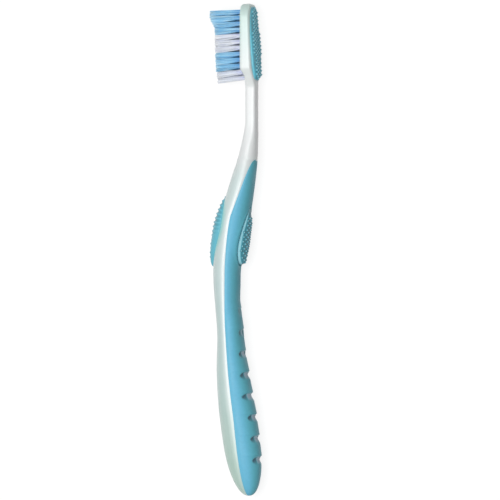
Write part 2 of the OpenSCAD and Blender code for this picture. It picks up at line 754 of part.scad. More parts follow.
module palm_pad() {
    places = between(body_places, palm_start + palm_groove, palm_end - palm_groove);
    first = window_i + 1;
    final = window_i + window_n + 1;
    color([0.43, 0.69, 0.75])
    translate(home) {
        band_loft(
            [for (s = places)
                let(t = section_angles(s))
                [for (k = [first : final]) skin(s, t[k], -palm_height(s, t[k]))]],
            [for (s = places) row(s, first, final, fill(palm_depth, window_n + 1))]
        );
        rows = nub_rows(palm_start, palm_len, palm_nub_pitch);
        for (i = [0 : len(rows) - 1])
            for (z = nub_row(palm_w(rows[i]) - palm_groove - nub_r, palm_nub_pitch, i % 2 == 1)) {
                t = 180 - sign(z) * angle_for(abs(z), rows[i]);
                nub(rows[i], t, -palm_height(rows[i], t), palm_nub_h);
            }
    }
}

module thumb_pad() {
    places = between(body_places, thumb_start + step, thumb_end - step);
    color([0.43, 0.69, 0.75])
    translate(home) {
        band_loft(
            [for (s = places)
                let(t = section_angles(s))
                concat([skin(s, t[ring_n - 1], 0)],
                       [for (k = [0 : front_n]) skin(s, t[k], -thumb_height(s, t[k]))],
                       [skin(s, t[side_i], 0)])],
            [for (s = places) row(s, 0, front_n, fill(thumb_depth, front_n + 1))]
        );
        for (s = post_places)
            translate([0, s, 0])
                rod_x(max(grip_floor(s - post_r), grip_floor(s + post_r)) + post_end_gap,
                      skin(s, 0, 0)[0], post_r);
        rows = nub_rows(thumb_start, thumb_len, thumb_nub_pitch);
        for (i = [0 : len(rows) - 1])
            for (z = nub_row(thumb_w(rows[i]) - nub_r - nub_margin, thumb_nub_pitch, i % 2 == 1)) {
                t = sign(z) * angle_for(abs(z), rows[i]);
                nub(rows[i], t, -thumb_height(rows[i], t), thumb_nub_h);
            }
    }
}

module tuft_anchors() {
    color("goldenrod")
    translate(home)
    for (i = [0 : row_count - 1], z = tuft_z(i))
        translate(tuft_home(i, z))
            anchor_space(0);
}

module tuft_row(i) {
    color(is_blue(i) ? [0.45, 0.7, 0.88] : [0.86, 0.88, 0.97])
    translate(home)
    for (z = tuft_z(i))
        translate(tuft_home(i, z))
            tuft(i);
}

brush_body();
tongue_cleaner();
back_grip();
palm_pad();
thumb_pad();
tuft_anchors();
for (i = [0 : row_count - 1])
    tuft_row(i);
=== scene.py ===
"""Manual toothbrush, dressed for a picture.

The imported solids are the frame. The hard body, the soft grip with its notches, the pads with their
nubs, the tongue cleaner and the tufts are modelled finer here, on the same section law as the solids.
Lengths are in millimetres until a point is placed, and every place along the brush is measured from
the head's tip.
"""
import math
import random

import bmesh
import bpy
from mathutils import Matrix, Vector


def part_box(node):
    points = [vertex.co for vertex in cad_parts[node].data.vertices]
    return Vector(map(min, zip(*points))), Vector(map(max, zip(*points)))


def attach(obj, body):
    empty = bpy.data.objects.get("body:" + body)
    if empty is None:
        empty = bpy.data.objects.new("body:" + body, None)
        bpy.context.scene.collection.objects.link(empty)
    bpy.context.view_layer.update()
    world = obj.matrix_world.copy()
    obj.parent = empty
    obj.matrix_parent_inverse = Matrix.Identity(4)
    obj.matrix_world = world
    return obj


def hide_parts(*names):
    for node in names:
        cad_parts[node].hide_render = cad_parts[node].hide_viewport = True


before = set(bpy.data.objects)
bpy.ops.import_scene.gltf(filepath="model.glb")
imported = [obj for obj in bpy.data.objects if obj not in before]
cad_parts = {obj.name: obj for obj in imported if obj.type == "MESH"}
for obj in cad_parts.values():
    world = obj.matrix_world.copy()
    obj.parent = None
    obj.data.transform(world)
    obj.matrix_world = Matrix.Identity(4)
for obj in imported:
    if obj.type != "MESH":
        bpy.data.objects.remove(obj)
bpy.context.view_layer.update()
random.seed(7)

MM = 0.001

# Sizes shared with the solids
BRUSH_LEN = 190.0
HEAD_HALF_T = 2.0
TOE_EDGE_R, TOE_EDGE_POWER = 1.4, 3
TOE_R, TOE_POWER = 6.0, 2.3
TAIL_R, TAIL_POWER = 20.0, 2.2
HOLE_R = 0.8
HOLE_DEPTH = 2.9
DRILL_OVER, DRILL_SIDES = 1.0, 20
ROOT_CLEARANCE = 0.02

# Place, middle, half thickness, half width and squareness of each section station
STATIONS = [
    (0.0, 0.0, HEAD_HALF_T, 6.3, 6.0),
    (24.5, -0.5, 2.5, 6.3, 6.0),
    (28.3, -1.35, 2.05, 4.6, 4.0),
    (33.0, -1.45, 2.15, 2.6, 4.5),
    (45.0, -1.45, 2.15, 2.6, 4.5),
    (56.0, -0.4, 3.3, 3.9, 2.25),
    (70.0, 2.5, 4.75, 5.9, 2.25),
    (86.0, 6.05, 5.8, 6.7, 2.25),
    (105.0, 8.6, 5.05, 6.25, 2.25),
    (126.0, 7.45, 4.65, 6.25, 2.25),
    (143.0, 6.15, 6.15, 6.55, 2.25),
    (161.5, 3.8, 7.1, 6.75, 2.25),
    (190.0, -0.2, 6.6, 6.1, 2.25),
]
HEEL_AT, NECK_AT = 24.0, 34.0
THUMB_ZONE_AT, WAIST_AT, HOLLOW_AT, BELLY_AT = 86.0, 105.0, 126.0, 161.5

GRIP_START, GRIP_SWEEP, GRIP_T, GRIP_TIP_T = 60.0, 22.0, 1.8, 0.8
GRIP_SWEEP_POWER, GRIP_TIP_R, GRIP_TIP_SHARE = 0.35, 1.5, 0.12
GRIP_THICKENING, GRIP_T_SHARE, GRIP_TIP_SUNK, GRIP_PROUD = 0.1, 0.45, 0.1, 0.05
PART_TIP, PART_THUMB, PART_WAIST, PART_BELLY, PART_TAIL = 168.0, 90.3, 98.7, 90.0, 84.5
NOTCHES, NOTCH_FIRST, NOTCH_PITCH, NOTCH_LEN, NOTCH_DEPTH = 8, 119.2, 8.16, 3.4, 0.66
NOTCH_HALF_W, NOTCH_SWELL = (1.8, 3.0, 4.2, 5.0, 5.5, 4.8, 4.8, 4.6), 0.24

# Shares of a notch's length that its upper lip and its rising floor take
NOTCH_LIP, NOTCH_RUN = 0.22, 0.6

# Share of the full depth that each of the first notches has
FIRST_NOTCH_SHARES = (0.3, 0.7)

# Place, half length and height of the grip's two gentle waves above the notches
GRIP_WAVES = ((114.5, 3.5, -0.28), (127.0, 6.0, 0.36))

THUMB_START, THUMB_LEN, THUMB_HALF_W, THUMB_RISE = 74.3, 27.2, 5.8, 1.7
THUMB_RIB_H, THUMB_BUMP_H, THUMB_PITCH = 0.55, 0.28, 1.65
PALM_START, PALM_LEN, PALM_HALF_W, PALM_RISE = 78.5, 22.8, 4.4, 1.4
PALM_DEPTH, PALM_GROOVE, PALM_LEAD, PALM_DROP = 0.7, 0.5, 7.0, 1.4
PALM_NUB_H, PALM_NUB_PITCH, PALM_NUB_ACROSS, PALM_NUB_FREE = 0.45, 0.88, 2.2, 3.6
CLEANER_START, CLEANER_LEN, CLEANER_HALF_W = 1.2, 28.4, 5.3
CLEANER_RIM, CLEANER_RISE, CLEANER_LEAD, CLEANER_DROP = 0.35, 1.1, 22.0, 2.6
CLEANER_NUB_H, CLEANER_NUB_PITCH, CLEANER_NUB_ACROSS = 0.65, 0.75, 2.8
CLEANER_NUB_OVER = 0.4
PAD_EDGE, PAD_LEAD, PAD_MIN_W = 0.1, 3.0, 0.12
HARD_RIM = 0.35

# Bluntness of the two ends of each leaf-shaped outline
THUMB_LEAF, THUMB_CREST_LEAF = (0.45, 0.65), (0.62, 0.3)
PALM_LEAF, CLEANER_LEAF = (0.7, 0.5), (0.28, 0.28)

# Ribbed length of the thumb pad, and the stretch over which its ribs fade
RIBS_LEN, RIBS_FADE = 10.0, 6.0

# Lip around the palm pad's groove: height, distance from the groove and width
PALM_LIP_H, PALM_LIP_AT, PALM_LIP_W = 0.12, 0.7, 0.5

# Radius of each nub, and how much wider than long it is
THUMB_BUMP_R, THUMB_BUMP_WIDE = 0.5, 1.2
PALM_NUB_R = 0.55
CLEANER_NUB_R, CLEANER_NUB_WIDE = 0.58, 1.25
NUB_TAPER, NUB_SIDES, NUB_RINGS = 0.5, 10, 8

# Hard body's edge along the grip: how far it rolls down, over how many degrees, and the width of its painted
# highlight
EDGE_ROLL, EDGE_TURN, EDGE_HIGHLIGHT_TURN = 0.14, 9.0, 22.0
# How much of the painted highlight fades towards the tail, where the fading starts and over what length
EDGE_HIGHLIGHT_FADE, EDGE_HIGHLIGHT_FADE_AT, EDGE_HIGHLIGHT_FADE_LEN = 0.75, 145.0, 28.0
# Width in degrees of the painted teal tint beside the thumb pad
THUMB_BLEED_TURN = 14.0

# Crease low on the flank: depth, its angle, and the place where it begins and ends
CREASE_DEPTH, CREASE_TURN, CREASE_FROM, CREASE_TO = 0.2, 66.0, 148.0, 188.0

# Columns of points across the grip's outside and at its edge, and across the body's front and its bed
GRIP_COLUMNS, GRIP_EDGE = 110, 3
FRONT_COLUMNS, BED_COLUMNS = 46, 26

# Stretches of the grip with fine rows of points: beside the palm pad, and along the notches
PALM_ZONE, NOTCH_ZONE = (77.0, 103.0), (114.0, 178.0)

# How far each pad's floor lies under the skin, and the pitch of its rows of points
THUMB_SUNK, THUMB_ROW = 0.6, 0.2
PALM_SUNK, PALM_ROW = PALM_DEPTH + 0.2, 0.45
CLEANER_SUNK, CLEANER_ROW = 0.35, 0.5

ROWS, ROW_FIRST, ROW_PITCH, TUFT_PITCH = 12, 3.1, 2.32, 2.5
BRISTLE_H, TOE_H, TOE_SLOPE_AT, TOE_SLOPE = 10.0, 2.5, 3.6, 7.2
HEEL_FALL, HEEL_FALL_AT, HEEL_FALL_LEN = 0.35, 16.0, 8.0
TUFT_LEAN, HEEL_LEAN, TUFT_FLARE, INNER_LEAN = 0.95, 0.85, 1.85, 0.5
WHITE_ROWS = (4, 5, 6, 10, 11)

# Where the frame puts the toe's middle across the thickness, the brush's middle plane and its tip
roots_low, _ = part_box("tuft_row_05")
X_HOME = roots_low[0] / MM + HOLE_DEPTH - ROOT_CLEARANCE - HEAD_HALF_T
body_low, body_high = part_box("brush_body")
Z_HOME = (body_low[2] + body_high[2]) / 2 / MM
Y_HOME = body_low[1] / MM


# ---------------------------------------------------------------- section law

def lerp(a, b, f):
    return a + (b - a) * f


def clamp(v, low=0.0, high=1.0):
    return max(low, min(high, v))


def smooth(f):
    c = clamp(f)
    return c * c * (3 - 2 * c)


def secant(i, c):
    """Slope between station i and the next."""
    return (STATIONS[i + 1][c] - STATIONS[i][c]) / (STATIONS[i + 1][0] - STATIONS[i][0])


def tangent(i, c):
    """Slope of the curve at station i, level where the values turn back."""
    if i <= 1:
        return secant(0, c)
    if i == len(STATIONS) - 1:
        return secant(i - 1, c)
    before, after = secant(i - 1, c), secant(i, c)
    return 0.0 if before * after <= 0 else 2 * before * after / (before + after)


def along(s, c):
    """Smooth curve through one column of the stations."""
    i = max(k for k in range(len(STATIONS) - 1) if STATIONS[k][0] <= s or k == 0)
    h = STATIONS[i + 1][0] - STATIONS[i][0]
    f = clamp((s - STATIONS[i][0]) / h)
    return (STATIONS[i][c] * (1 + 2 * f) * (1 - f) ** 2 + tangent(i, c) * h * f * (1 - f) ** 2
            + STATIONS[i + 1][c] * f * f * (3 - 2 * f) + tangent(i + 1, c) * h * f * f * (f - 1))


def rounded(d, r, power):
    """Share of the full size at distance d from an end rounded over r."""
    return 1.0 if d >= r else max(0.0, 1 - (1 - d / r) ** power) ** (1 / power)


def middle(s):
    """Middle of the section, across the thickness."""
    return along(s, 1)


def half_t(s):
    return along(s, 2) * rounded(s, TOE_EDGE_R, TOE_EDGE_POWER) * rounded(BRUSH_LEN - s, TAIL_R, TAIL_POWER)


def half_w(s):
    return along(s, 3) * rounded(s, TOE_R, TOE_POWER) * rounded(BRUSH_LEN - s, TAIL_R, TAIL_POWER)


def power_of(v, q):
    """Power that keeps the sign of v."""
    return math.copysign(abs(v) ** q, v)


def skin(s, turn, depth=0.0):
    """Point of the section at s, turned from the front by an angle and lying under the skin."""
    q = 2 / along(s, 4)
    t = math.radians(turn)
    return Vector(((X_HOME + middle(s) + max(0.0, half_t(s) - depth) * power_of(math.cos(t), q)) * MM,
                   (Y_HOME + s) * MM,
                   (Z_HOME + max(0.0, half_w(s) - depth) * power_of(math.sin(t), q)) * MM))


def outward(s, turn):
    """Direction out of the skin, along the brush's curve as well."""
    a = skin(s - 0.05, turn)
    b = skin(s + 0.05, turn)
    c = skin(s, turn - 1)
    d = skin(s, turn + 1)
    n = (b - a).cross(d - c).normalized()
    centre = Vector(((X_HOME + middle(s)) * MM, (Y_HOME + s) * MM, Z_HOME * MM))
    return n if n.dot(skin(s, turn) - centre) > 0 else -n


def turn_for(w, s):
    """Angle at which the skin reaches the half width w."""
    return math.degrees(math.asin(clamp(w / half_w(s), 0.0, 0.98) ** (along(s, 4) / 2)))


def leaf(s, start, length, a, b):
    """Outline from 0 over 1 to 0; the smaller a or b, the blunter that end."""
    u = clamp((s - start) / length)
    peak = a / (a + b)
    return (u / peak) ** a * ((1 - u) / (1 - peak)) ** b


def thumb_w(s):
    return THUMB_HALF_W * leaf(s, THUMB_START, THUMB_LEN, *THUMB_LEAF)


def palm_w(s):
    return PALM_HALF_W * leaf(s, PALM_START, PALM_LEN, *PALM_LEAF)


def cleaner_w(s):
    return min(CLEANER_HALF_W * leaf(s, CLEANER_START, CLEANER_LEN, *CLEANER_LEAF), half_w(s) - HARD_RIM)


def part_turn(s):
    """Angle of the parting line between hard body and soft grip, closing to a rounded tip."""
    if s < WAIST_AT:
        base = lerp(PART_THUMB, PART_WAIST, smooth((s - THUMB_ZONE_AT) / (WAIST_AT - THUMB_ZONE_AT)))
    elif s < BELLY_AT:
        base = lerp(PART_WAIST, PART_BELLY, smooth((s - WAIST_AT) / (HOLLOW_AT - WAIST_AT)))
    else:
        base = lerp(PART_BELLY, PART_TAIL, (s - BELLY_AT) / (BRUSH_LEN - BELLY_AT))
    full = lerp(PART_TIP, base, clamp((s - GRIP_START) / GRIP_SWEEP) ** GRIP_SWEEP_POWER)
    opening = math.sqrt(1 - (1 - clamp((s - GRIP_START) / GRIP_TIP_R)) ** 2)
    return 180 - (180 - full) * max(opening, GRIP_TIP_SHARE if s >= GRIP_START else 1)


def grip_depth(s):
    """Depth of the grip's bed in the body."""
    return min(GRIP_T, GRIP_TIP_T + GRIP_THICKENING * (s - GRIP_START), GRIP_T_SHARE * half_t(s))


def arc_turns(s, from_turn, reach, pitch, shifted):
    """Angles on both sides of from_turn, spaced by pitch along the section's outline."""
    turns = [] if shifted else [from_turn]
    wanted = pitch / 2 if shifted else pitch
    walked, t, before = 0.0, 0.0, skin(s, from_turn)
    while t < reach:
        t += 0.5
        here = skin(s, from_turn + t)
        walked += (here - before).length / MM
        before = here
        if walked >= wanted and t < reach:
            turns += [from_turn - t, from_turn + t]
            wanted += pitch
    return turns


# ---------------------------------------------------------------- mesh making

PAD_STEPS = [-1, -0.98, -0.95, -0.91] + [-0.86 + 1.72 * j / 44 for j in range(45)] + [0.91, 0.95, 0.98, 1]


def spread(a, b, pitch):
    """Even steps from a to b, both included, no longer than pitch."""
    n = max(1, math.ceil((b - a) / pitch))
    return [lerp(a, b, i / n) for i in range(n + 1)]


def stretches(*parts):
    """Rows of several stretches in order, without doubles."""
    rows = sorted(r for part in parts for r in part)
    return [r for i, r in enumerate(rows) if i == 0 or r - rows[i - 1] > 0.004]


def skin_over(rows, section, painted_light_of=None, second_painted_light_of=None):
    """Closed grid of quads laid over the sections: row i, column j goes to section(rows[i])[j].

    Two functions give each point two values of painted light and shade that the piece's finish reads.
    """
    sections = [section(s) for s in rows]
    count = len(sections[0])
    bm = bmesh.new()
    # The first value sets painted highlight or painted shade; the second paints the body's edge highlight and
    # the grip's back shade
    painted_light_level = bm.verts.layers.float.new("painted_light_level")
    back = bm.verts.layers.float.new("back")
    bmesh.ops.create_grid(bm, x_segments=len(rows) - 1, y_segments=count, size=1)
    for v in bm.verts:
        i = round((v.co.x + 1) / 2 * (len(rows) - 1))
        j = round((v.co.y + 1) / 2 * count) % count
        v.co = sections[i][j]
        if painted_light_of:
            v[painted_light_level] = painted_light_of(rows[i], j)
        if second_painted_light_of:
            v[back] = second_painted_light_of(rows[i], j)
    bmesh.ops.remove_doubles(bm, verts=bm.verts, dist=1e-7)
    bmesh.ops.holes_fill(bm, edges=[e for e in bm.edges if e.is_boundary], sides=0)
    bmesh.ops.recalc_face_normals(bm, faces=bm.faces)
    return bm


def finish_mesh(bm, name, material, slot, *nodes, crisp=None):
    """Closes a piece: smooth faces, hard edges past the crisp angle, its finish and its body."""
    for f in bm.faces:
        f.smooth = True
    if crisp:
        for e in bm.edges:
            e.smooth = e.calc_face_angle(0.0) < math.radians(crisp)
    mesh = bpy.data.meshes.new(name)
    bm.to_mesh(mesh)
    bm.free()
    piece = bpy.data.objects.new(name, mesh)
    bpy.context.scene.collection.objects.link(piece)
    mesh.materials.append(material)
    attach(piece, "root")
    if nodes:
        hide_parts(*nodes)
    return piece


def add_nub(bm, s, turn, depth, height, radius, wide=1.0):
    """A pointed nub with a rounded tip, standing on the skin at a depth (negative above it)."""
    painted_light_level = bm.verts.layers.float["painted_light_level"]
    up = outward(s, turn)
    side = up.cross(Vector((0, 1, 0))).normalized()
    lengthwise = side.cross(up)
    place = Matrix((side, lengthwise, up)).transposed().to_4x4()
    place.translation = skin(s, turn) - up * depth * MM
    made = bmesh.ops.create_uvsphere(bm, u_segments=NUB_SIDES, v_segments=NUB_RINGS, radius=1)
    for v in made["verts"]:
        z = clamp(v.co.z)
        # The nub's height sets its painted light: painted shade at its foot and a painted highlight on its
        # tip
        v[painted_light_level] = z
        taper = 1 - NUB_TAPER * z
        v.co = place @ Vector((v.co.x * radius * wide * taper * MM, v.co.y * radius * taper * MM,
                               v.co.z * height * MM))


def nub_rows(start, length, pitch):
    """Places along a pad of its rows of nubs."""
    n = math.floor(length / pitch) - 1
    return [start + length / 2 + (i - (n - 1) / 2) * pitch for i in range(n)]


def nub_row(w, pitch, shifted):
    """Places across a pad of the nubs in one row, shifted by half a pitch or not."""
    n = math.floor(w / pitch - (0.5 if shifted else 0))
    if n < 0:
        return []
    if shifted:
        return [(j + 0.5) * pitch for j in range(-n - 1, n + 1)]
    return [j * pitch for j in range(-n, n + 1)]


# ---------------------------------------------------------------- finishes

def srgb(r, g, b):
    """Colour as a screen shows it, turned into the linear values that a shader takes."""
    def one(v):
        v /= 255
        return v / 12.92 if v <= 0.04045 else ((v + 0.055) / 1.055) ** 2.4
    return (one(r), one(g), one(b), 1.0)


def new_group(name, inputs, outputs):
    """Shader node group with named inputs and outputs."""
    group = bpy.data.node_groups.new(name, "ShaderNodeTree")
    for title, kind, value in inputs:
        socket = group.interface.new_socket(name=title, in_out="INPUT", socket_type=kind)
        socket.default_value = value
    for title, kind in outputs:
        group.interface.new_socket(name=title, in_out="OUTPUT", socket_type=kind)
    return group, group.nodes.new("NodeGroupInput"), group.nodes.new("NodeGroupOutput")


def noise(tree, vector, scale, detail=2.0, roughness=0.5):
    n = tree.nodes.new("ShaderNodeTexNoise")
    n.inputs["Scale"].default_value = scale
    n.inputs["Detail"].default_value = detail
    n.inputs["Roughness"].default_value = roughness
    tree.links.new(vector, n.inputs["Vector"])
    return n.outputs["Fac"]


def stretched(tree, vector, x, y, z):
    """Place scaled by axis, so that a texture runs along the smallest."""
    n = tree.nodes.new("ShaderNodeMapping")
    n.inputs["Scale"].default_value = (x, y, z)
    tree.links.new(vector, n.inputs["Vector"])
    return n.outputs["Vector"]


def remap(tree, value, low, high, to_low, to_high):
    """Value moved from one range to another."""
    n = tree.nodes.new("ShaderNodeMapRange")
    n.inputs["From Min"].default_value = low
    n.inputs["From Max"].default_value = high
    n.inputs["To Min"].default_value = to_low
    n.inputs["To Max"].default_value = to_high
    tree.links.new(value, n.inputs["Value"])
    return n.outputs["Result"]


def math_node(tree, operation, a, b):
    n = tree.nodes.new("ShaderNodeMath")
    n.operation = operation
    for socket, v in zip(n.inputs, (a, b)):
        if isinstance(v, (int, float)):
            socket.default_value = v
        else:
            tree.links.new(v, socket)
    return n.outputs["Value"]


def mixed(tree, factor, a, b):
    """Colour mixed from a to b by a factor, through the node's inputs for colours."""
    n = tree.nodes.new("ShaderNodeMix")
    n.data_type = "RGBA"
    for socket, v in ((n.inputs[0], factor), (n.inputs[6], a), (n.inputs[7], b)):
        if isinstance(v, (tuple, int, float)):
            socket.default_value = v
        else:
            tree.links.new(v, socket)
    return n.outputs[2]


def object_place(tree):
    """Place of a point in the piece's own coordinates."""
    return tree.nodes.new("ShaderNodeTexCoord").outputs["Object"]


def make_handling_marks():
    """Fine scuffs that run mostly along the brush, and soft cloudy patches."""
    g, _, out = new_group("handling_marks", [],
                          [("Scuffs", "NodeSocketFloat"), ("Clouds", "NodeSocketFloat")])
    place = object_place(g)
    fine = noise(g, stretched(g, place, 2600, 130, 2600), 1.0, 3, 0.6)
    g.links.new(remap(g, fine, 0.6, 0.78, 0, 1), out.inputs["Scuffs"])
    g.links.new(remap(g, noise(g, place, 130, 3), 0.35, 0.7, 0, 1), out.inputs["Clouds"])
    return g


def make_moulded_grain():
    """The fine texture that a mould leaves: a height for bumps and a mottle for colour."""
    g, _, out = new_group("moulded_grain", [], [("Height", "NodeSocketFloat"), ("Mottle", "NodeSocketFloat")])
    place = object_place(g)
    fine = noise(g, place, 5200, 2, 0.6)
    broad = noise(g, place, 900, 2)
    g.links.new(math_node(g, "ADD", fine, math_node(g, "MULTIPLY", broad, 0.6)), out.inputs["Height"])
    g.links.new(remap(g, broad, 0.35, 0.65, 0, 1), out.inputs["Mottle"])
    return g


def place_group(tree, group):
    """The shared group, placed in a material."""
    n = tree.nodes.new("ShaderNodeGroup")
    n.node_tree = group
    return n


def new_material(name):
    m = bpy.data.materials.new(name)
    m.use_nodes = True
    return m, m.node_tree, m.node_tree.nodes["Principled BSDF"]


def bumped(tree, shader, height, strength, distance):
    """Fine relief in the light, from a height."""
    n = tree.nodes.new("ShaderNodeBump")
    n.inputs["Strength"].default_value = strength
    n.inputs["Distance"].default_value = distance
    tree.links.new(height, n.inputs["Height"])
    tree.links.new(n.outputs["Normal"], shader.inputs["Normal"])


def split_xyz(tree, vector):
    n = tree.nodes.new("ShaderNodeSeparateXYZ")
    tree.links.new(vector, n.inputs["Vector"])
    return n.outputs


MARKS = make_handling_marks()
GRAIN = make_moulded_grain()


def piece_value(tree, name):
    """A value that the piece's own points carry."""
    n = tree.nodes.new("ShaderNodeAttribute")
    n.attribute_name = name
    return n.outputs["Fac"]


def colour_along(tree, stops):
    """Colour that changes along the brush, from places measured from the head's tip."""
    y = split_xyz(tree, object_place(tree))["Y"]
    share = remap(tree, y, Y_HOME * MM, (Y_HOME + BRUSH_LEN) * MM, 0, 1)
    n = tree.nodes.new("ShaderNodeValToRGB")
    elements = n.color_ramp.elements
    elements.remove(elements[1])
    elements[0].position, elements[0].color = stops[0][0] / BRUSH_LEN, stops[0][1]
    for place, colour in stops[1:]:
        elements.new(place / BRUSH_LEN).color = colour
    tree.links.new(share, n.inputs["Fac"])
    return n.outputs["Color"]


def pearl_plastic():
    """Hard pearly plastic: mint at the toe, almost white on the neck, greener towards the tail.

    Its points carry painted light: the thumb pad's teal bleeding into it, and a highlight along the grip's
    edge.
    """
    m, tree, shader = new_material("pearl_plastic")
    marks, grain = place_group(tree, MARKS), place_group(tree, GRAIN)
    tint = colour_along(tree, [(2, (0.64, 0.84, 0.79, 1)), (12, (0.72, 0.87, 0.84, 1)),
                               (24, (0.84, 0.91, 0.90, 1)), (34, (0.88, 0.90, 0.90, 1)),
                               (58, (0.86, 0.89, 0.89, 1)), (68, (0.68, 0.80, 0.79, 1)),
                               (110, (0.61, 0.75, 0.745, 1)), (150, (0.57, 0.73, 0.70, 1)),
                               (178, (0.50, 0.69, 0.61, 1))])
    cloudy = mixed(tree, math_node(tree, "MULTIPLY", marks.outputs["Clouds"], 0.08), tint, (1, 1, 1, 1))
    # Painted tint: the pad's teal, carried through the plastic by light, painted next to the thumb pad
    painted_pad_bleed = math_node(tree, "MULTIPLY", piece_value(tree, "painted_light_level"), 0.7)
    with_painted_bleed = mixed(tree, painted_pad_bleed, cloudy, srgb(126, 218, 214))
    # Painted highlight: the plastic turns almost white along the parting line at the grip's edge
    painted_edge_highlight = math_node(tree, "MULTIPLY", piece_value(tree, "back"), 0.6)
    tree.links.new(mixed(tree, painted_edge_highlight, with_painted_bleed, (0.96, 1, 1, 1)), shader.inputs["Base Color"])
    rough = math_node(tree, "ADD", remap(tree, marks.outputs["Scuffs"], 0, 1, 0.34, 0.46),
                      math_node(tree, "MULTIPLY", grain.outputs["Mottle"], 0.03))
    tree.links.new(rough, shader.inputs["Roughness"])
    shader.inputs["Subsurface Weight"].default_value = 0.12
    shader.inputs["Subsurface Radius"].default_value = (0.9, 1.0, 0.95)
    shader.inputs["Subsurface Scale"].default_value = 0.001
    shader.inputs["Coat Weight"].default_value = 0.6
    shader.inputs["Coat Roughness"].default_value = 0.3
    bumped(tree, shader, grain.outputs["Height"], 0.05, 0.00004)
    return m


def soft_rubber(name, shade_and_mottle_colour, base, back, highlight_and_scuff_colour, rough_low, rough_high, bump):
    """Satin elastomer with a moulded grain, with painted shade where it lies deep and a painted highlight on
    raised points.

    Its points carry how high they lie, which sets that painted light, and how far round to the back, where a
    darker colour paints shade.
    """
    m, tree, shader = new_material(name)
    marks, grain = place_group(tree, MARKS), place_group(tree, GRAIN)
    painted_light_level = piece_value(tree, "painted_light_level")
    # Painted shade: the back, turned from the lamp, takes the darker back colour
    turned = mixed(tree, piece_value(tree, "back"), base, back)
    mottled = mixed(tree, math_node(tree, "MULTIPLY", grain.outputs["Mottle"], 0.06), turned, shade_and_mottle_colour)
    # Painted highlight on raised points and painted shade in hollows, from how high a point lies
    with_painted_highlight = mixed(tree, remap(tree, painted_light_level, 0.5, 1, 0, 1), mottled, highlight_and_scuff_colour)
    sunk = mixed(tree, remap(tree, painted_light_level, 0, 0.5, 0, 1), shade_and_mottle_colour, with_painted_highlight)
    worn = mixed(tree, math_node(tree, "MULTIPLY", marks.outputs["Scuffs"], 0.1), sunk, highlight_and_scuff_colour)
    tree.links.new(worn, shader.inputs["Base Color"])
    rough = remap(tree, marks.outputs["Clouds"], 0, 1, rough_low, rough_high)
    tree.links.new(rough, shader.inputs["Roughness"])
    shader.inputs["Specular IOR Level"].default_value = 0.35
    bumped(tree, shader, grain.outputs["Height"], bump, 0.00006)
    return m


def make_filament_tint():
    """Colour along the filaments: painted shade at the root, painted light at the tip, painted glints and
    shade in clumps, a random tone by strand.
    """
    g, into, out = new_group("filament_tint",
                             [("Root", "NodeSocketColor", (0, 0, 0, 1)),
                              ("Body", "NodeSocketColor", (0, 0, 0, 1)),
                              ("Tip", "NodeSocketColor", (1, 1, 1, 1))],
                             [("Color", "NodeSocketColor"), ("Streak", "NodeSocketFloat")])
    height = piece_value(g, "height")
    shade = piece_value(g, "shade")
    # Painted shade low in the tuft and painted light at the tips
    painted_root_shade = mixed(g, remap(g, height, 0.05, 0.4, 0, 1), into.outputs["Root"], into.outputs["Body"])
    whole = mixed(g, remap(g, height, 0.8, 1.0, 0, 1), painted_root_shade, into.outputs["Tip"])
    clump = noise(g, stretched(g, object_place(g), 60, 1500, 1500), 1.0, 2)
    # Painted glints and painted shade in clumps along the strands
    painted_glints = mixed(g, remap(g, clump, 0.5, 0.64, 0, 0.8), whole, into.outputs["Tip"])
    painted_clump_shade = mixed(g, remap(g, clump, 0.46, 0.34, 0, 0.5), painted_glints, into.outputs["Root"])
    g.links.new(mixed(g, remap(g, shade, 0, 1, 0, 0.25), painted_clump_shade, into.outputs["Root"]), out.inputs["Color"])
    streak = noise(g, stretched(g, object_place(g), 140, 4200, 4200), 1.0, 2)
    g.links.new(remap(g, streak, 0.3, 0.7, 0, 1), out.inputs["Streak"])
    return g


TINT = make_filament_tint()


def nylon(name, root, body, tip):
    """Filaments with a soft sheen."""
    m, tree, shader = new_material(name)
    tint = place_group(tree, TINT)
    tint.inputs["Root"].default_value = root
    tint.inputs["Body"].default_value = body
    tint.inputs["Tip"].default_value = tip
    tree.links.new(tint.outputs["Color"], shader.inputs["Base Color"])
    tree.links.new(remap(tree, tint.outputs["Streak"], 0, 1, 0.22, 0.42), shader.inputs["Roughness"])
    shader.inputs["Sheen Weight"].default_value = 0.4
    shader.inputs["Sheen Roughness"].default_value = 0.5
    shader.inputs["Sheen Tint"].default_value = body
    bumped(tree, shader, tint.outputs["Streak"], 0.05, 0.00001)
    return m


def staple_metal():
    """Thin brass of the staples."""
    m, tree, shader = new_material("staple_brass")
    marks, grain = place_group(tree, MARKS), place_group(tree, GRAIN)
    base = mixed(tree, marks.outputs["Clouds"], (0.60, 0.42, 0.16, 1), (0.70, 0.52, 0.24, 1))
    tree.links.new(base, shader.inputs["Base Color"])
    shader.inputs["Metallic"].default_value = 1.0
    tree.links.new(remap(tree, marks.outputs["Scuffs"], 0, 1, 0.3, 0.5), shader.inputs["Roughness"])
    bumped(tree, shader, grain.outputs["Height"], 0.1, 0.00003)
    return m


pearl = pearl_plastic()
# Each rubber: painted shade in hollows, plain colour, darker back colour painting shade, pale colour for
# painted highlights and scuffs
grip_rubber = soft_rubber("grip_rubber", srgb(74, 114, 130), srgb(112, 196, 228), srgb(101, 190, 206),
                          srgb(180, 206, 222), 0.42, 0.54, 0.1)
# The scraper is a brighter copy of the pad rubber, painting extra light on the cleaner
scraper_rubber_painted_light = soft_rubber("scraper_rubber_painted_light", srgb(98, 190, 212), srgb(142, 224, 242), srgb(142, 224, 242),
                             srgb(206, 246, 252), 0.26, 0.36, 0.08)
pad_rubber = soft_rubber("pad_rubber", srgb(76, 152, 168), srgb(114, 197, 216), srgb(114, 197, 216),
                         srgb(186, 236, 244), 0.26, 0.36, 0.08)
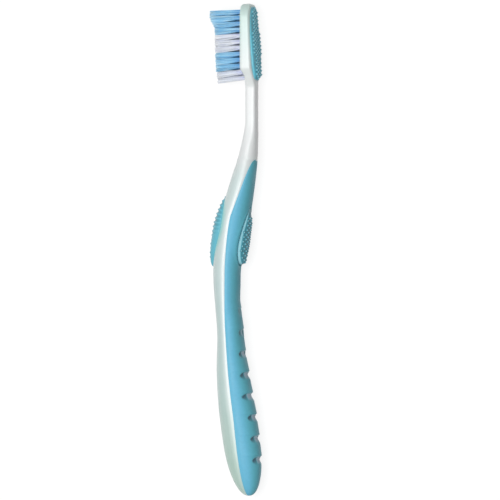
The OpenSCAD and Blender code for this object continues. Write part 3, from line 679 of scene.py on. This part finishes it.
# Root colours paint the shade low in the tufts, tip colours paint the light at their tips
blue_nylon = nylon("blue_nylon", srgb(90, 164, 224), srgb(155, 220, 252), srgb(204, 240, 255))
white_nylon = nylon("white_nylon", srgb(208, 214, 244), srgb(242, 248, 255), srgb(252, 254, 255))
staple_brass = staple_metal()


# ---------------------------------------------------------------- hard body

def rounding_rows(r, n):
    """Distances from a rounded end, closer together near it."""
    return [r * (1 - math.cos(math.radians(90 * k / n))) for k in range(n + 1)]


def flank_crease(s, turn):
    """Soft crease along the lower flank: in front of it the face lies a little lower."""
    fade = smooth((s - CREASE_FROM) / 16) * smooth((CREASE_TO - s) / 8)
    return CREASE_DEPTH * fade * smooth((turn - 20) / 30) * (1 - smooth((turn - CREASE_TURN) / 6))


def edge_roll(s, turn, p):
    """How far the hard body's edge rolls down towards the parting line."""
    near = clamp((turn - p + EDGE_TURN) / EDGE_TURN)
    return EDGE_ROLL * smooth((s - GRIP_START - 1) / 4) * near ** 2


def body_part(s):
    """Angle that divides the columns of the body's section."""
    return part_turn(s) if s >= GRIP_START else lerp(90, 178, clamp((s - HEEL_AT) / (GRIP_START - HEEL_AT)))


def thumb_bleed_painted(s, j):
    """1 next to the thumb pad and 0 away from it: the share of a painted teal tint, standing in for the pad's
    light carried through the plastic.
    """
    k = min(j, 2 * (FRONT_COLUMNS + BED_COLUMNS + 1) - j)
    if k > FRONT_COLUMNS or not THUMB_START < s < THUMB_START + THUMB_LEN:
        return 0.0
    turn = lerp(0, body_part(s), k / FRONT_COLUMNS)
    return math.exp(-(max(0.0, turn - turn_for(thumb_w(s), s)) / THUMB_BLEED_TURN) ** 2)


def edge_highlight_painted(s, j):
    """1 at the parting line and 0 away from it: the share of a painted highlight along the plastic's edge."""
    k = min(j, 2 * (FRONT_COLUMNS + BED_COLUMNS + 1) - j)
    if k > FRONT_COLUMNS or s < GRIP_START:
        return 0.0
    near = smooth(1 - body_part(s) * (1 - k / FRONT_COLUMNS) / EDGE_HIGHLIGHT_TURN)
    faded = EDGE_HIGHLIGHT_FADE * smooth((s - EDGE_HIGHLIGHT_FADE_AT) / EDGE_HIGHLIGHT_FADE_LEN)
    return near * smooth((s - GRIP_START) / 6) * (1 - faded)


def body_section(s):
    """Whole section of the body, with the bed of the grip behind the parting line."""
    p = body_part(s)
    bed = max(0.0, grip_depth(s) - 0.1) * smooth((s - GRIP_START - 2) / 4)
    front = [lerp(0, p, j / FRONT_COLUMNS) for j in range(FRONT_COLUMNS + 1)]
    back = [lerp(p + 0.4, 180, j / BED_COLUMNS) for j in range(BED_COLUMNS + 1)]
    half = [(a, flank_crease(s, a) + edge_roll(s, a, p)) for a in front] + [(a, bed) for a in back]
    return [skin(s, a, d) for a, d in half] + [skin(s, 360 - a, d) for a, d in half[-2:0:-1]]


def make_body():
    """Hard body with the drilled tuft holes in its head."""
    rows = stretches(rounding_rows(TOE_EDGE_R, 8), rounding_rows(TOE_R, 10), spread(TOE_R, HEEL_AT, 1.0),
                     spread(HEEL_AT, NECK_AT, 0.5), spread(NECK_AT, GRIP_START, 1.0),
                     spread(GRIP_START, BRUSH_LEN - TAIL_R, 0.8),
                     [BRUSH_LEN - d for d in rounding_rows(TAIL_R, 26)])
    bm = skin_over(rows, body_section, thumb_bleed_painted, edge_highlight_painted)
    holes = bmesh.new()
    for s, z, front in tuft_places():
        made = bmesh.ops.create_cone(holes, cap_ends=True, segments=DRILL_SIDES, radius1=HOLE_R * MM,
                                     radius2=HOLE_R * MM, depth=(HOLE_DEPTH + DRILL_OVER) * MM)
        along_x = Matrix.Rotation(math.radians(90), 4, "Y")
        along_x.translation = Vector((X_HOME + front - HOLE_DEPTH + (HOLE_DEPTH + DRILL_OVER) / 2,
                                      Y_HOME + s, Z_HOME + z)) * MM
        bmesh.ops.transform(holes, matrix=along_x, verts=made["verts"])
    piece = finish_mesh(bm, "hard_body", pearl, "body_plastic", "brush_body", crisp=40)
    drill(piece, holes)


def drill(piece, holes):
    """Cuts the holes out of the piece, with hard edges at their rims."""
    mesh = bpy.data.meshes.new("drill")
    holes.to_mesh(mesh)
    holes.free()
    tool = bpy.data.objects.new("drill", mesh)
    bpy.context.scene.collection.objects.link(tool)
    cut = piece.modifiers.new("tuft_holes", "BOOLEAN")
    cut.operation = "DIFFERENCE"
    cut.solver = "EXACT"
    cut.object = tool
    done = bpy.data.meshes.new_from_object(piece.evaluated_get(bpy.context.evaluated_depsgraph_get()))
    piece.modifiers.clear()
    piece.data = done
    bpy.data.objects.remove(tool)
    bm = bmesh.new()
    bm.from_mesh(done)
    for e in bm.edges:
        e.smooth = e.calc_face_angle(0.0) < math.radians(40)
    bm.to_mesh(done)
    bm.free()


# ---------------------------------------------------------------- soft grip

def nearest_notch(s):
    """Number of the notch nearest to s, from 0."""
    return int(clamp(round((s - NOTCH_FIRST) / NOTCH_PITCH), 0, NOTCHES - 1))


def notch_cut(s, across):
    """Depth of the notches: a steep upper lip and a floor that rises gently towards the tail."""
    k = nearest_notch(s)
    u = (s - NOTCH_FIRST - k * NOTCH_PITCH) / NOTCH_LEN + 0.5
    if u <= 0 or u >= 1:
        return 0.0
    share = FIRST_NOTCH_SHARES[k] if k < len(FIRST_NOTCH_SHARES) else 1.0
    w = NOTCH_HALF_W[k] * (0.6 + 0.4 * math.sin(math.pi * u))
    profile = smooth(u / NOTCH_LIP) * smooth((1 - u) / NOTCH_RUN)
    return NOTCH_DEPTH * share * profile * smooth((w - across) / 0.6 + 0.3)


def swell(s):
    """Height of the grip's back above the section: lips before the notches, and the waves above them."""
    f = (s - NOTCH_FIRST + NOTCH_LEN / 2) / NOTCH_PITCH
    near = smooth((s - NOTCH_FIRST) / NOTCH_PITCH + 1) \
        * smooth((NOTCH_FIRST + NOTCHES * NOTCH_PITCH - s) / NOTCH_PITCH)
    waves = sum(h * math.exp(-((s - at) / reach) ** 2) for at, reach, h in GRIP_WAVES)
    return NOTCH_SWELL * near * (f - math.floor(f)) ** 2 + waves


def palm_relief(s, across):
    """Groove and floor under the palm pad, with a low lip around them."""
    if s < PALM_START - 2 or s > PALM_START + PALM_LEN + 2:
        return 0.0
    w = palm_w(s)
    if w <= 0:
        return 0.0
    lip = PALM_LIP_H * math.exp(-((across - w - PALM_LIP_AT) / PALM_LIP_W) ** 2)
    return PALM_DEPTH * smooth((w - across) / 0.3 + 0.2) - lip


def grip_turn(p, j):
    """Angle of the grip's outer column j, from one parting line round the back to the other."""
    return lerp(p + 1, 359 - p, clamp(j / GRIP_COLUMNS))


def grip_across(s, turn):
    """Distance of the skin from the brush's middle plane."""
    return abs(half_w(s) * power_of(math.sin(math.radians(turn)), 2 / along(s, 4)))


def grip_shade(s, j):
    """0.5 on the plain grip; lower in grooves and at the notches' ends to paint shade there, higher on the
    notches' floors.
    """
    turn = grip_turn(part_turn(s), j - GRIP_EDGE)
    if j < GRIP_EDGE or j > GRIP_EDGE + GRIP_COLUMNS or math.cos(math.radians(turn)) > 0:
        return 0.5
    across = grip_across(s, turn)
    groove = clamp(palm_relief(s, across) / PALM_DEPTH)
    cut = notch_cut(s, across) / NOTCH_DEPTH
    inside = smooth((NOTCH_HALF_W[nearest_notch(s)] - across - 1.5) / 1.2)
    return clamp(0.5 - 0.1 * groove + cut * (inside - 0.5))


def grip_back_painted_shade(s, j):
    """0 on the flank and 1 round on the back, where the darker back colour paints the shade of the side
    turned from the lamp.
    """
    return smooth((-math.cos(math.radians(grip_turn(part_turn(s), j - GRIP_EDGE))) - 0.3) / 0.6)


def grip_section(s):
    """Section of the grip: its outside from one parting line to the other, then the bed under it."""
    p = part_turn(s)
    proud = lerp(-GRIP_TIP_SUNK, GRIP_PROUD, smooth((s - GRIP_START) / 1.2))
    floor = max(lerp(0.5, grip_depth(s), smooth((s - GRIP_START) / 3)), 0.3 * half_t(s))
    roll = edge_roll(s, p, p)
    edge = [(p - 0.2, min(0.5, floor)), (p - 0.1, roll + 0.12 - proud), (p + 0.35, roll + 0.03 - proud)]
    path = list(edge)
    for j in range(GRIP_COLUMNS + 1):
        t = grip_turn(p, j)
        across = grip_across(s, t)
        behind = -math.cos(math.radians(t))
        relief = notch_cut(s, across) + palm_relief(s, across) if behind > 0 else 0.0
        seam = roll * (1 - smooth(min(j, GRIP_COLUMNS - j) / 6))
        path.append((t, seam - proud - swell(s) * smooth(behind / 0.8) + relief))
    path += [(360 - t, d) for t, d in reversed(edge)]
    path += [(lerp(357 - p, p + 3, j / 24), floor) for j in range(25)]
    return [skin(s, t, d) for t, d in path]


def make_grip():
    """Soft grip round the back of the handle."""
    rows = stretches(spread(GRIP_START, GRIP_START + 2, 0.25), spread(GRIP_START, PALM_ZONE[0], 1.0),
                     spread(*PALM_ZONE, 0.32), spread(PALM_ZONE[1], NOTCH_ZONE[0], 1.0),
                     spread(*NOTCH_ZONE, 0.3),
                     [BRUSH_LEN - d for d in rounding_rows(BRUSH_LEN - NOTCH_ZONE[1], 14)])
    finish_mesh(skin_over(rows, grip_section, grip_shade, grip_back_painted_shade), "soft_grip", grip_rubber,
                "grip_rubber", "back_grip")


# ---------------------------------------------------------------- pads with nubs

def pad_section(s, centre, w, height, sunk):
    """Closed section of a pad: its dome from edge to edge, then a floor under the skin.

    The height is asked for at an angle and at its share of the half width.
    """
    turns = [math.copysign(turn_for(abs(w * f), s), f) for f in PAD_STEPS]
    path = [(turns[0], sunk), (turns[0], 0.05)]
    path += [(t, -height(s, abs(t), abs(f))) for t, f in zip(turns, PAD_STEPS)]
    path += [(turns[-1], 0.05), (turns[-1], sunk)]
    path += [(lerp(turns[-1], turns[0], j / 12) * 0.9, sunk + 0.1) for j in range(13)]
    return [skin(s, centre + t, d) for t, d in path]


def pad_share(j):
    """Share of the half width at column j of a pad's section."""
    return abs(PAD_STEPS[clamp(j - 2, 0, len(PAD_STEPS) - 1)])


def palm_shade(s, j):
    """Painted highlight on the smooth rim of the pad, painted shade between its nubs."""
    return 0.8 * smooth((pad_share(j) - 0.84) / 0.1)


def cleaner_shade(s, j):
    """A little painted highlight on the cleaner's edge, painted shade between its nubs."""
    return 0.15 * smooth((pad_share(j) - 0.86) / 0.1)


def pad_rows(start, length, pitch):
    """Rows along a pad, closer together at its ends."""
    end = start + length
    rows = stretches([start + d for d in rounding_rows(PAD_LEAD, 10)],
                     spread(start + PAD_LEAD, end - PAD_LEAD, pitch),
                     [end - d for d in rounding_rows(PAD_LEAD, 10)])
    return [s for s in rows if start + 0.02 < s < end - 0.02]


def thumb_crest(s):
    """Height of the thumb pad's middle above its edge."""
    return THUMB_RISE * leaf(s, THUMB_START, THUMB_LEN, *THUMB_CREST_LEAF)


def front_slope(s):
    """How much the front of the handle comes forward per millimetre."""
    return middle(s + 0.5) + half_t(s + 0.5) - middle(s - 0.5) - half_t(s - 0.5)


def rib_wave(s, turn):
    """1 on the crest of a cross rib and 0 between two, the ribs standing square to the pad's curve."""
    behind = half_t(s) * (1 - power_of(math.cos(math.radians(turn)), 2 / along(s, 4)))
    phase = (s - front_slope(s) * behind - THUMB_START) / THUMB_PITCH
    return (0.5 + 0.5 * math.cos(2 * math.pi * phase)) ** 2


def ribbed(s):
    """1 on the ribbed upper half of the thumb pad, 0 on its plain lower half."""
    return 1 - smooth((s - THUMB_START - RIBS_LEN) / RIBS_FADE)


def thumb_across(s, turn):
    """0 along the thumb pad's middle and 1 at its edge."""
    return clamp(turn / max(1.0, turn_for(thumb_w(s), s)))


def thumb_height(s, turn, f=0.0):
    """Height of the thumb pad above the skin."""
    across = thumb_across(s, turn)
    rib = THUMB_RIB_H * ribbed(s) * rib_wave(s, turn) * (1 - across ** 6)
    return PAD_EDGE + thumb_crest(s) * (1 - across ** 2.5) + rib


def thumb_shade(s, j):
    """Painted highlight on the ribs, painted shade between them, plain on the lower half."""
    turn = turn_for(thumb_w(s) * pad_share(j), s)
    return lerp(0.5, 0.7 * rib_wave(s, turn), ribbed(s) * (1 - pad_share(j) ** 4))


def make_thumb_pad():
    """Thumb pad: cross ribs on its upper half, low bumps on its lower half."""
    bm = skin_over(pad_rows(THUMB_START, THUMB_LEN, THUMB_ROW),
                   lambda s: pad_section(s, 0, max(PAD_MIN_W, thumb_w(s)), thumb_height, THUMB_SUNK),
                   thumb_shade)
    for i, s in enumerate(nub_rows(THUMB_START, THUMB_LEN, THUMB_PITCH)):
        if ribbed(s) > 0.5:
            continue
        reach = turn_for(0.45 * thumb_w(s), s)
        for t in arc_turns(s, 0, reach, THUMB_PITCH, i % 2 == 1):
            add_nub(bm, s, t, -thumb_height(s, abs(t)), THUMB_BUMP_H, THUMB_BUMP_R, THUMB_BUMP_WIDE)
    finish_mesh(bm, "thumb_rest", pad_rubber, "pad_rubber", "thumb_pad", crisp=60)


def palm_height(s, turn, f=0.0):
    """Height of the palm pad above the skin, a little less at its edge."""
    ends = smooth((s - PALM_START) / PALM_LEAD) * smooth((PALM_START + PALM_LEN - s) / PALM_DROP)
    across = clamp(turn / max(1.0, turn_for(palm_w(s), s)))
    fuller = 0.8 + 0.4 * smooth((s - PALM_START - 8) / 8)
    return (PAD_EDGE + PALM_RISE * fuller * ends * (1 - 0.85 * across ** 2)) * (1 - 0.3 * f ** 8)


def make_palm_pad():
    """Palm pad in its groove, with pointed nubs."""
    start, length = PALM_START + PALM_GROOVE, PALM_LEN - 2 * PALM_GROOVE

    def reach_w(s):
        return (PALM_HALF_W - PALM_GROOVE) * leaf(s, start, length, *PALM_LEAF)

    bm = skin_over(pad_rows(start, length, PALM_ROW),
                   lambda s: pad_section(s, 180, max(PAD_MIN_W, reach_w(s)), palm_height, PALM_SUNK),
                   palm_shade)
    for i, s in enumerate(nub_rows(start, length, PALM_NUB_PITCH)):
        if s < start + PALM_NUB_FREE:
            continue
        reach = turn_for(max(0.1, reach_w(s) - 0.25), s)
        for t in arc_turns(s, 180, reach, PALM_NUB_ACROSS, i % 2 == 1):
            add_nub(bm, s, t, -palm_height(s, abs(t - 180)), PALM_NUB_H, PALM_NUB_R)
    finish_mesh(bm, "palm_rest", pad_rubber, "pad_rubber", "palm_pad", crisp=60)


def cleaner_height(s, turn, f=0.0):
    """Height of the tongue cleaner above the skin, less at its edge."""
    ends = smooth((s - CLEANER_START) / CLEANER_LEAD) \
        * smooth((CLEANER_START + CLEANER_LEN - s) / CLEANER_DROP)
    across = clamp(turn / turn_for(cleaner_w(s), s))
    return (CLEANER_RIM + (CLEANER_RISE - CLEANER_RIM) * ends * (1 - across ** 3)) * (1 - 0.45 * f ** 14)


def make_cleaner():
    """Tongue cleaner on the head's back, with pointed nubs."""
    bm = skin_over(pad_rows(CLEANER_START, CLEANER_LEN, CLEANER_ROW),
                   lambda s: pad_section(s, 180, cleaner_w(s), cleaner_height, CLEANER_SUNK), cleaner_shade)
    for i, s in enumerate(nub_rows(CLEANER_START - CLEANER_NUB_OVER, CLEANER_LEN + 2 * CLEANER_NUB_OVER,
                                   CLEANER_NUB_PITCH)):
        for z in nub_row(cleaner_w(s) - 0.9, CLEANER_NUB_ACROSS, i % 2 == 1):
            t = math.copysign(turn_for(abs(z), s), z)
            add_nub(bm, s, 180 - t, -cleaner_height(s, abs(t)), CLEANER_NUB_H,
                    CLEANER_NUB_R, CLEANER_NUB_WIDE)
    finish_mesh(bm, "tongue_scraper", scraper_rubber_painted_light, "pad_rubber", "tongue_cleaner", crisp=60)


# ---------------------------------------------------------------- tufts

STRAND_R, STRAND_GROWTH = 0.115, 0.35
STRAND_SIDES = 6
STRAND_STEPS = (0.0, 0.1, 0.3, 0.65, 0.985, 1.0)
STRAND_SUNK, STRAND_TIP = 0.5, 0.55
STRAND_SWAY, STRAND_BOW, TRIM_SCATTER = 0.2, 0.06, 0.1
FLARE_POWER, ASIDE_POWER = 1.15, 0.45
BUNDLE_R, BUNDLE_PITCH = 0.67, 0.185


def tufts_in(i):
    """Tufts across the head in row i, fewer where the head is rounded or narrow."""
    return {0: 3, ROWS - 2: 3, ROWS - 1: 2}.get(i, 4)


# Which way each tuft of a row bends at its root: 1 towards the tail, -1 towards the toe
TUFT_SIDES = {0: (0.1, 0.9, 0.1), ROWS - 2: (0.6, 1.6, 0.6), ROWS - 1: (-1.1, 0.2)}
FULL_ROW_SIDES = (0, 1, -1, 0)


def front_of(s):
    """Height of the head's front face."""
    return middle(s) + along(s, 2)


def tuft_places():
    """Place along the head, place across it and height of the plate's front, for every tuft."""
    found = []
    for i in range(ROWS):
        s = ROW_FIRST + i * ROW_PITCH
        found += [(s, (k - (tufts_in(i) - 1) / 2) * TUFT_PITCH, front_of(s)) for k in range(tufts_in(i))]
    return found


def packed_spots(radius, pitch):
    """Places of the strands in one tuft, packed closely in a round bundle."""
    spots = []
    reach = 2 * math.ceil(radius / pitch)
    for a in range(-reach, reach + 1):
        for b in range(-reach, reach + 1):
            p = Vector(((a + b / 2) * pitch, b * pitch * 0.866))
            if p.length <= radius:
                spots.append(p)
    return spots


def add_strand(bm, base, spot, length, lean, aside):
    """One filament from its root to its rounded tip, bending outwards with its tuft."""
    height = bm.verts.layers.float["height"]
    shade = bm.verts.layers.float["shade"]
    cells = len(STRAND_STEPS) - 1
    made = bmesh.ops.create_grid(bm, x_segments=cells, y_segments=STRAND_SIDES, size=1)
    sway = Vector((random.gauss(0, STRAND_SWAY), random.gauss(0, STRAND_SWAY)))
    bow = random.gauss(0, STRAND_BOW)
    own_shade = random.random()
    flare = TUFT_FLARE - 1
    for v in made["verts"]:
        f = STRAND_STEPS[round((v.co.x + 1) / 2 * cells)]
        side = round((v.co.y + 1) / 2 * STRAND_SIDES) % STRAND_SIDES
        turn = math.radians(360 / STRAND_SIDES * side)
        r = STRAND_R * (1 + STRAND_GROWTH * f) * (STRAND_TIP if f == 1.0 else 1.0)
        out = 1 + flare * f ** FLARE_POWER
        v[height] = f
        v[shade] = own_shade
        v.co = (base + Vector((f * length,
                               spot.x * out + sway.x * f + bow * math.sin(math.pi * f) + lean * f
                               + aside * f ** ASIDE_POWER + r * math.cos(turn),
                               spot.y * out + sway.y * f + r * math.sin(turn)))) * MM


def trimmed(s):
    """Height of the bristles' trim above the toe's middle: raised at the toe, a little lower at the heel."""
    return HEAD_HALF_T + BRISTLE_H + TOE_H * (1 - smooth((s - TOE_SLOPE_AT) / TOE_SLOPE)) \
        - HEEL_FALL * smooth((s - HEEL_FALL_AT) / HEEL_FALL_LEN)


def make_tufts():
    """The rows of tufts, one piece for each row."""
    spots = packed_spots(BUNDLE_R, BUNDLE_PITCH)
    for i in range(ROWS):
        s = ROW_FIRST + i * ROW_PITCH
        white = i in WHITE_ROWS
        lean = HEEL_LEAN if i >= ROWS - 2 else TUFT_LEAN
        bm = bmesh.new()
        bm.verts.layers.float.new("height")
        bm.verts.layers.float.new("shade")
        for k in range(tufts_in(i)):
            base = Vector((X_HOME + front_of(s) - STRAND_SUNK, Y_HOME + s,
                           Z_HOME + (k - (tufts_in(i) - 1) / 2) * TUFT_PITCH))
            aside = INNER_LEAN * TUFT_SIDES.get(i, FULL_ROW_SIDES)[k]
            for spot in spots:
                trim = trimmed(s + spot.x * TUFT_FLARE + lean + aside) - front_of(s)
                add_strand(bm, base, spot, trim + random.gauss(0, TRIM_SCATTER) + STRAND_SUNK, lean, aside)
        bmesh.ops.remove_doubles(bm, verts=bm.verts, dist=1e-8)
        bmesh.ops.holes_fill(bm, edges=[e for e in bm.edges if e.is_boundary], sides=STRAND_SIDES)
        bmesh.ops.recalc_face_normals(bm, faces=bm.faces)
        finish_mesh(bm, "bristles_%02d" % (i + 1), white_nylon if white else blue_nylon,
                    "bristle_white" if white else "bristle_blue", "tuft_row_%02d" % (i + 1))


# ---------------------------------------------------------------- camera, floor and light

CAMERA_TILT = math.radians(17)
PIXEL = 0.3862 * MM
PICTURE, TOE_COLUMN = 500, 248.2
CAMERA_AWAY, AIM_DROP, SENSOR = 1.6, 0.0001, 36
FLOOR_HALF, FLOOR_COLOUR = 3, (0.2, 0.2, 0.2, 1)
GLOW_NEAR, GLOW_FAR, GLOW_FROM, GLOW_TO = 0.86, 1.0, 0.3, 1.2
LAMP_PLACE, LAMP_SIZE, LAMP_POWER = Vector((0.075, 0.0, 1.2)), (0.86, 0.7), 9.6
ROOM_LIGHT = 0.33


def set_camera():
    """Looks down on the flank, a little from behind, with the head at the top of the picture."""
    right = Vector((-math.cos(CAMERA_TILT), 0, -math.sin(CAMERA_TILT)))
    up = Vector((0, -1, 0))
    back = Vector((-math.sin(CAMERA_TILT), 0, math.cos(CAMERA_TILT)))
    aim = Vector((X_HOME * MM, 0, Z_HOME * MM)) + right * (PICTURE / 2 - TOE_COLUMN) * PIXEL - up * AIM_DROP
    data = bpy.data.cameras.new("camera")
    data.sensor_width = SENSOR
    data.lens = SENSOR * CAMERA_AWAY / (PICTURE * PIXEL)
    data.clip_start = 0.01
    data.clip_end = 20
    cam = bpy.data.objects.new("camera", data)
    place = Matrix((right, up, back)).transposed().to_4x4()
    place.translation = aim + back * CAMERA_AWAY
    cam.matrix_world = place
    bpy.context.scene.collection.objects.link(cam)
    bpy.context.scene.camera = cam


def seen_factor(tree):
    """1 for rays from the camera, from a mirror-like surface or through glass."""
    path = tree.nodes.new("ShaderNodeLightPath")
    total = math_node(tree, "MAXIMUM", path.outputs["Is Camera Ray"], path.outputs["Is Glossy Ray"])
    return math_node(tree, "MAXIMUM", total, path.outputs["Is Transmission Ray"])


def make_floor():
    """Pale floor that keeps the shadow near the brush and is plain white far from the lamp."""
    bm = bmesh.new()
    bmesh.ops.create_grid(bm, x_segments=1, y_segments=1, size=FLOOR_HALF)
    mesh = bpy.data.meshes.new("studio_floor")
    bm.to_mesh(mesh)
    bm.free()
    floor = bpy.data.objects.new("studio_floor", mesh)
    bpy.context.scene.collection.objects.link(floor)
    m, tree, shader = new_material("studio_floor")
    shader.inputs["Base Color"].default_value = FLOOR_COLOUR
    shader.inputs["Roughness"].default_value = 1.0
    shader.inputs["Specular IOR Level"].default_value = 0.0
    shader.inputs["Emission Color"].default_value = (1, 1, 1, 1)
    away = tree.nodes.new("ShaderNodeVectorMath")
    away.operation = "LENGTH"
    tree.links.new(object_place(tree), away.inputs[0])
    glow = remap(tree, away.outputs["Value"], GLOW_FROM, GLOW_TO, GLOW_NEAR, GLOW_FAR)
    tree.links.new(math_node(tree, "MULTIPLY", seen_factor(tree), glow), shader.inputs["Emission Strength"])
    mesh.materials.append(m)


def set_lamp():
    """One wide soft lamp above the brush, aimed at its middle."""
    data = bpy.data.lights.new("top_soft", "AREA")
    data.shape = "RECTANGLE"
    data.size, data.size_y = LAMP_SIZE
    data.energy = LAMP_POWER
    lamp = bpy.data.objects.new("top_soft", data)
    turned = (-LAMP_PLACE).to_track_quat("-Z", "Y").to_matrix().to_4x4()
    lamp.matrix_world = Matrix.Translation(LAMP_PLACE) @ turned
    bpy.context.scene.collection.objects.link(lamp)


def set_room_light():
    """Even light from all sides, shown to the camera as plain white."""
    world = bpy.data.worlds.new("studio")
    bpy.context.scene.world = world
    world.use_nodes = True
    tree = world.node_tree
    background = tree.nodes["Background"]
    background.inputs["Color"].default_value = (1, 1, 1, 1)
    strength = tree.nodes.new("ShaderNodeMapRange")
    strength.inputs["To Min"].default_value = ROOM_LIGHT
    strength.inputs["To Max"].default_value = 1.0
    path = tree.nodes.new("ShaderNodeLightPath")
    tree.links.new(path.outputs["Is Camera Ray"], strength.inputs["Value"])
    tree.links.new(strength.outputs["Result"], background.inputs["Strength"])


make_body()
make_grip()
make_thumb_pad()
make_palm_pad()
make_cleaner()
make_tufts()
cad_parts["tuft_anchors"].data.materials.clear()
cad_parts["tuft_anchors"].data.materials.append(staple_brass)

set_camera()
make_floor()
set_room_light()
set_lamp()
bpy.context.scene.view_settings.view_transform = "Standard"
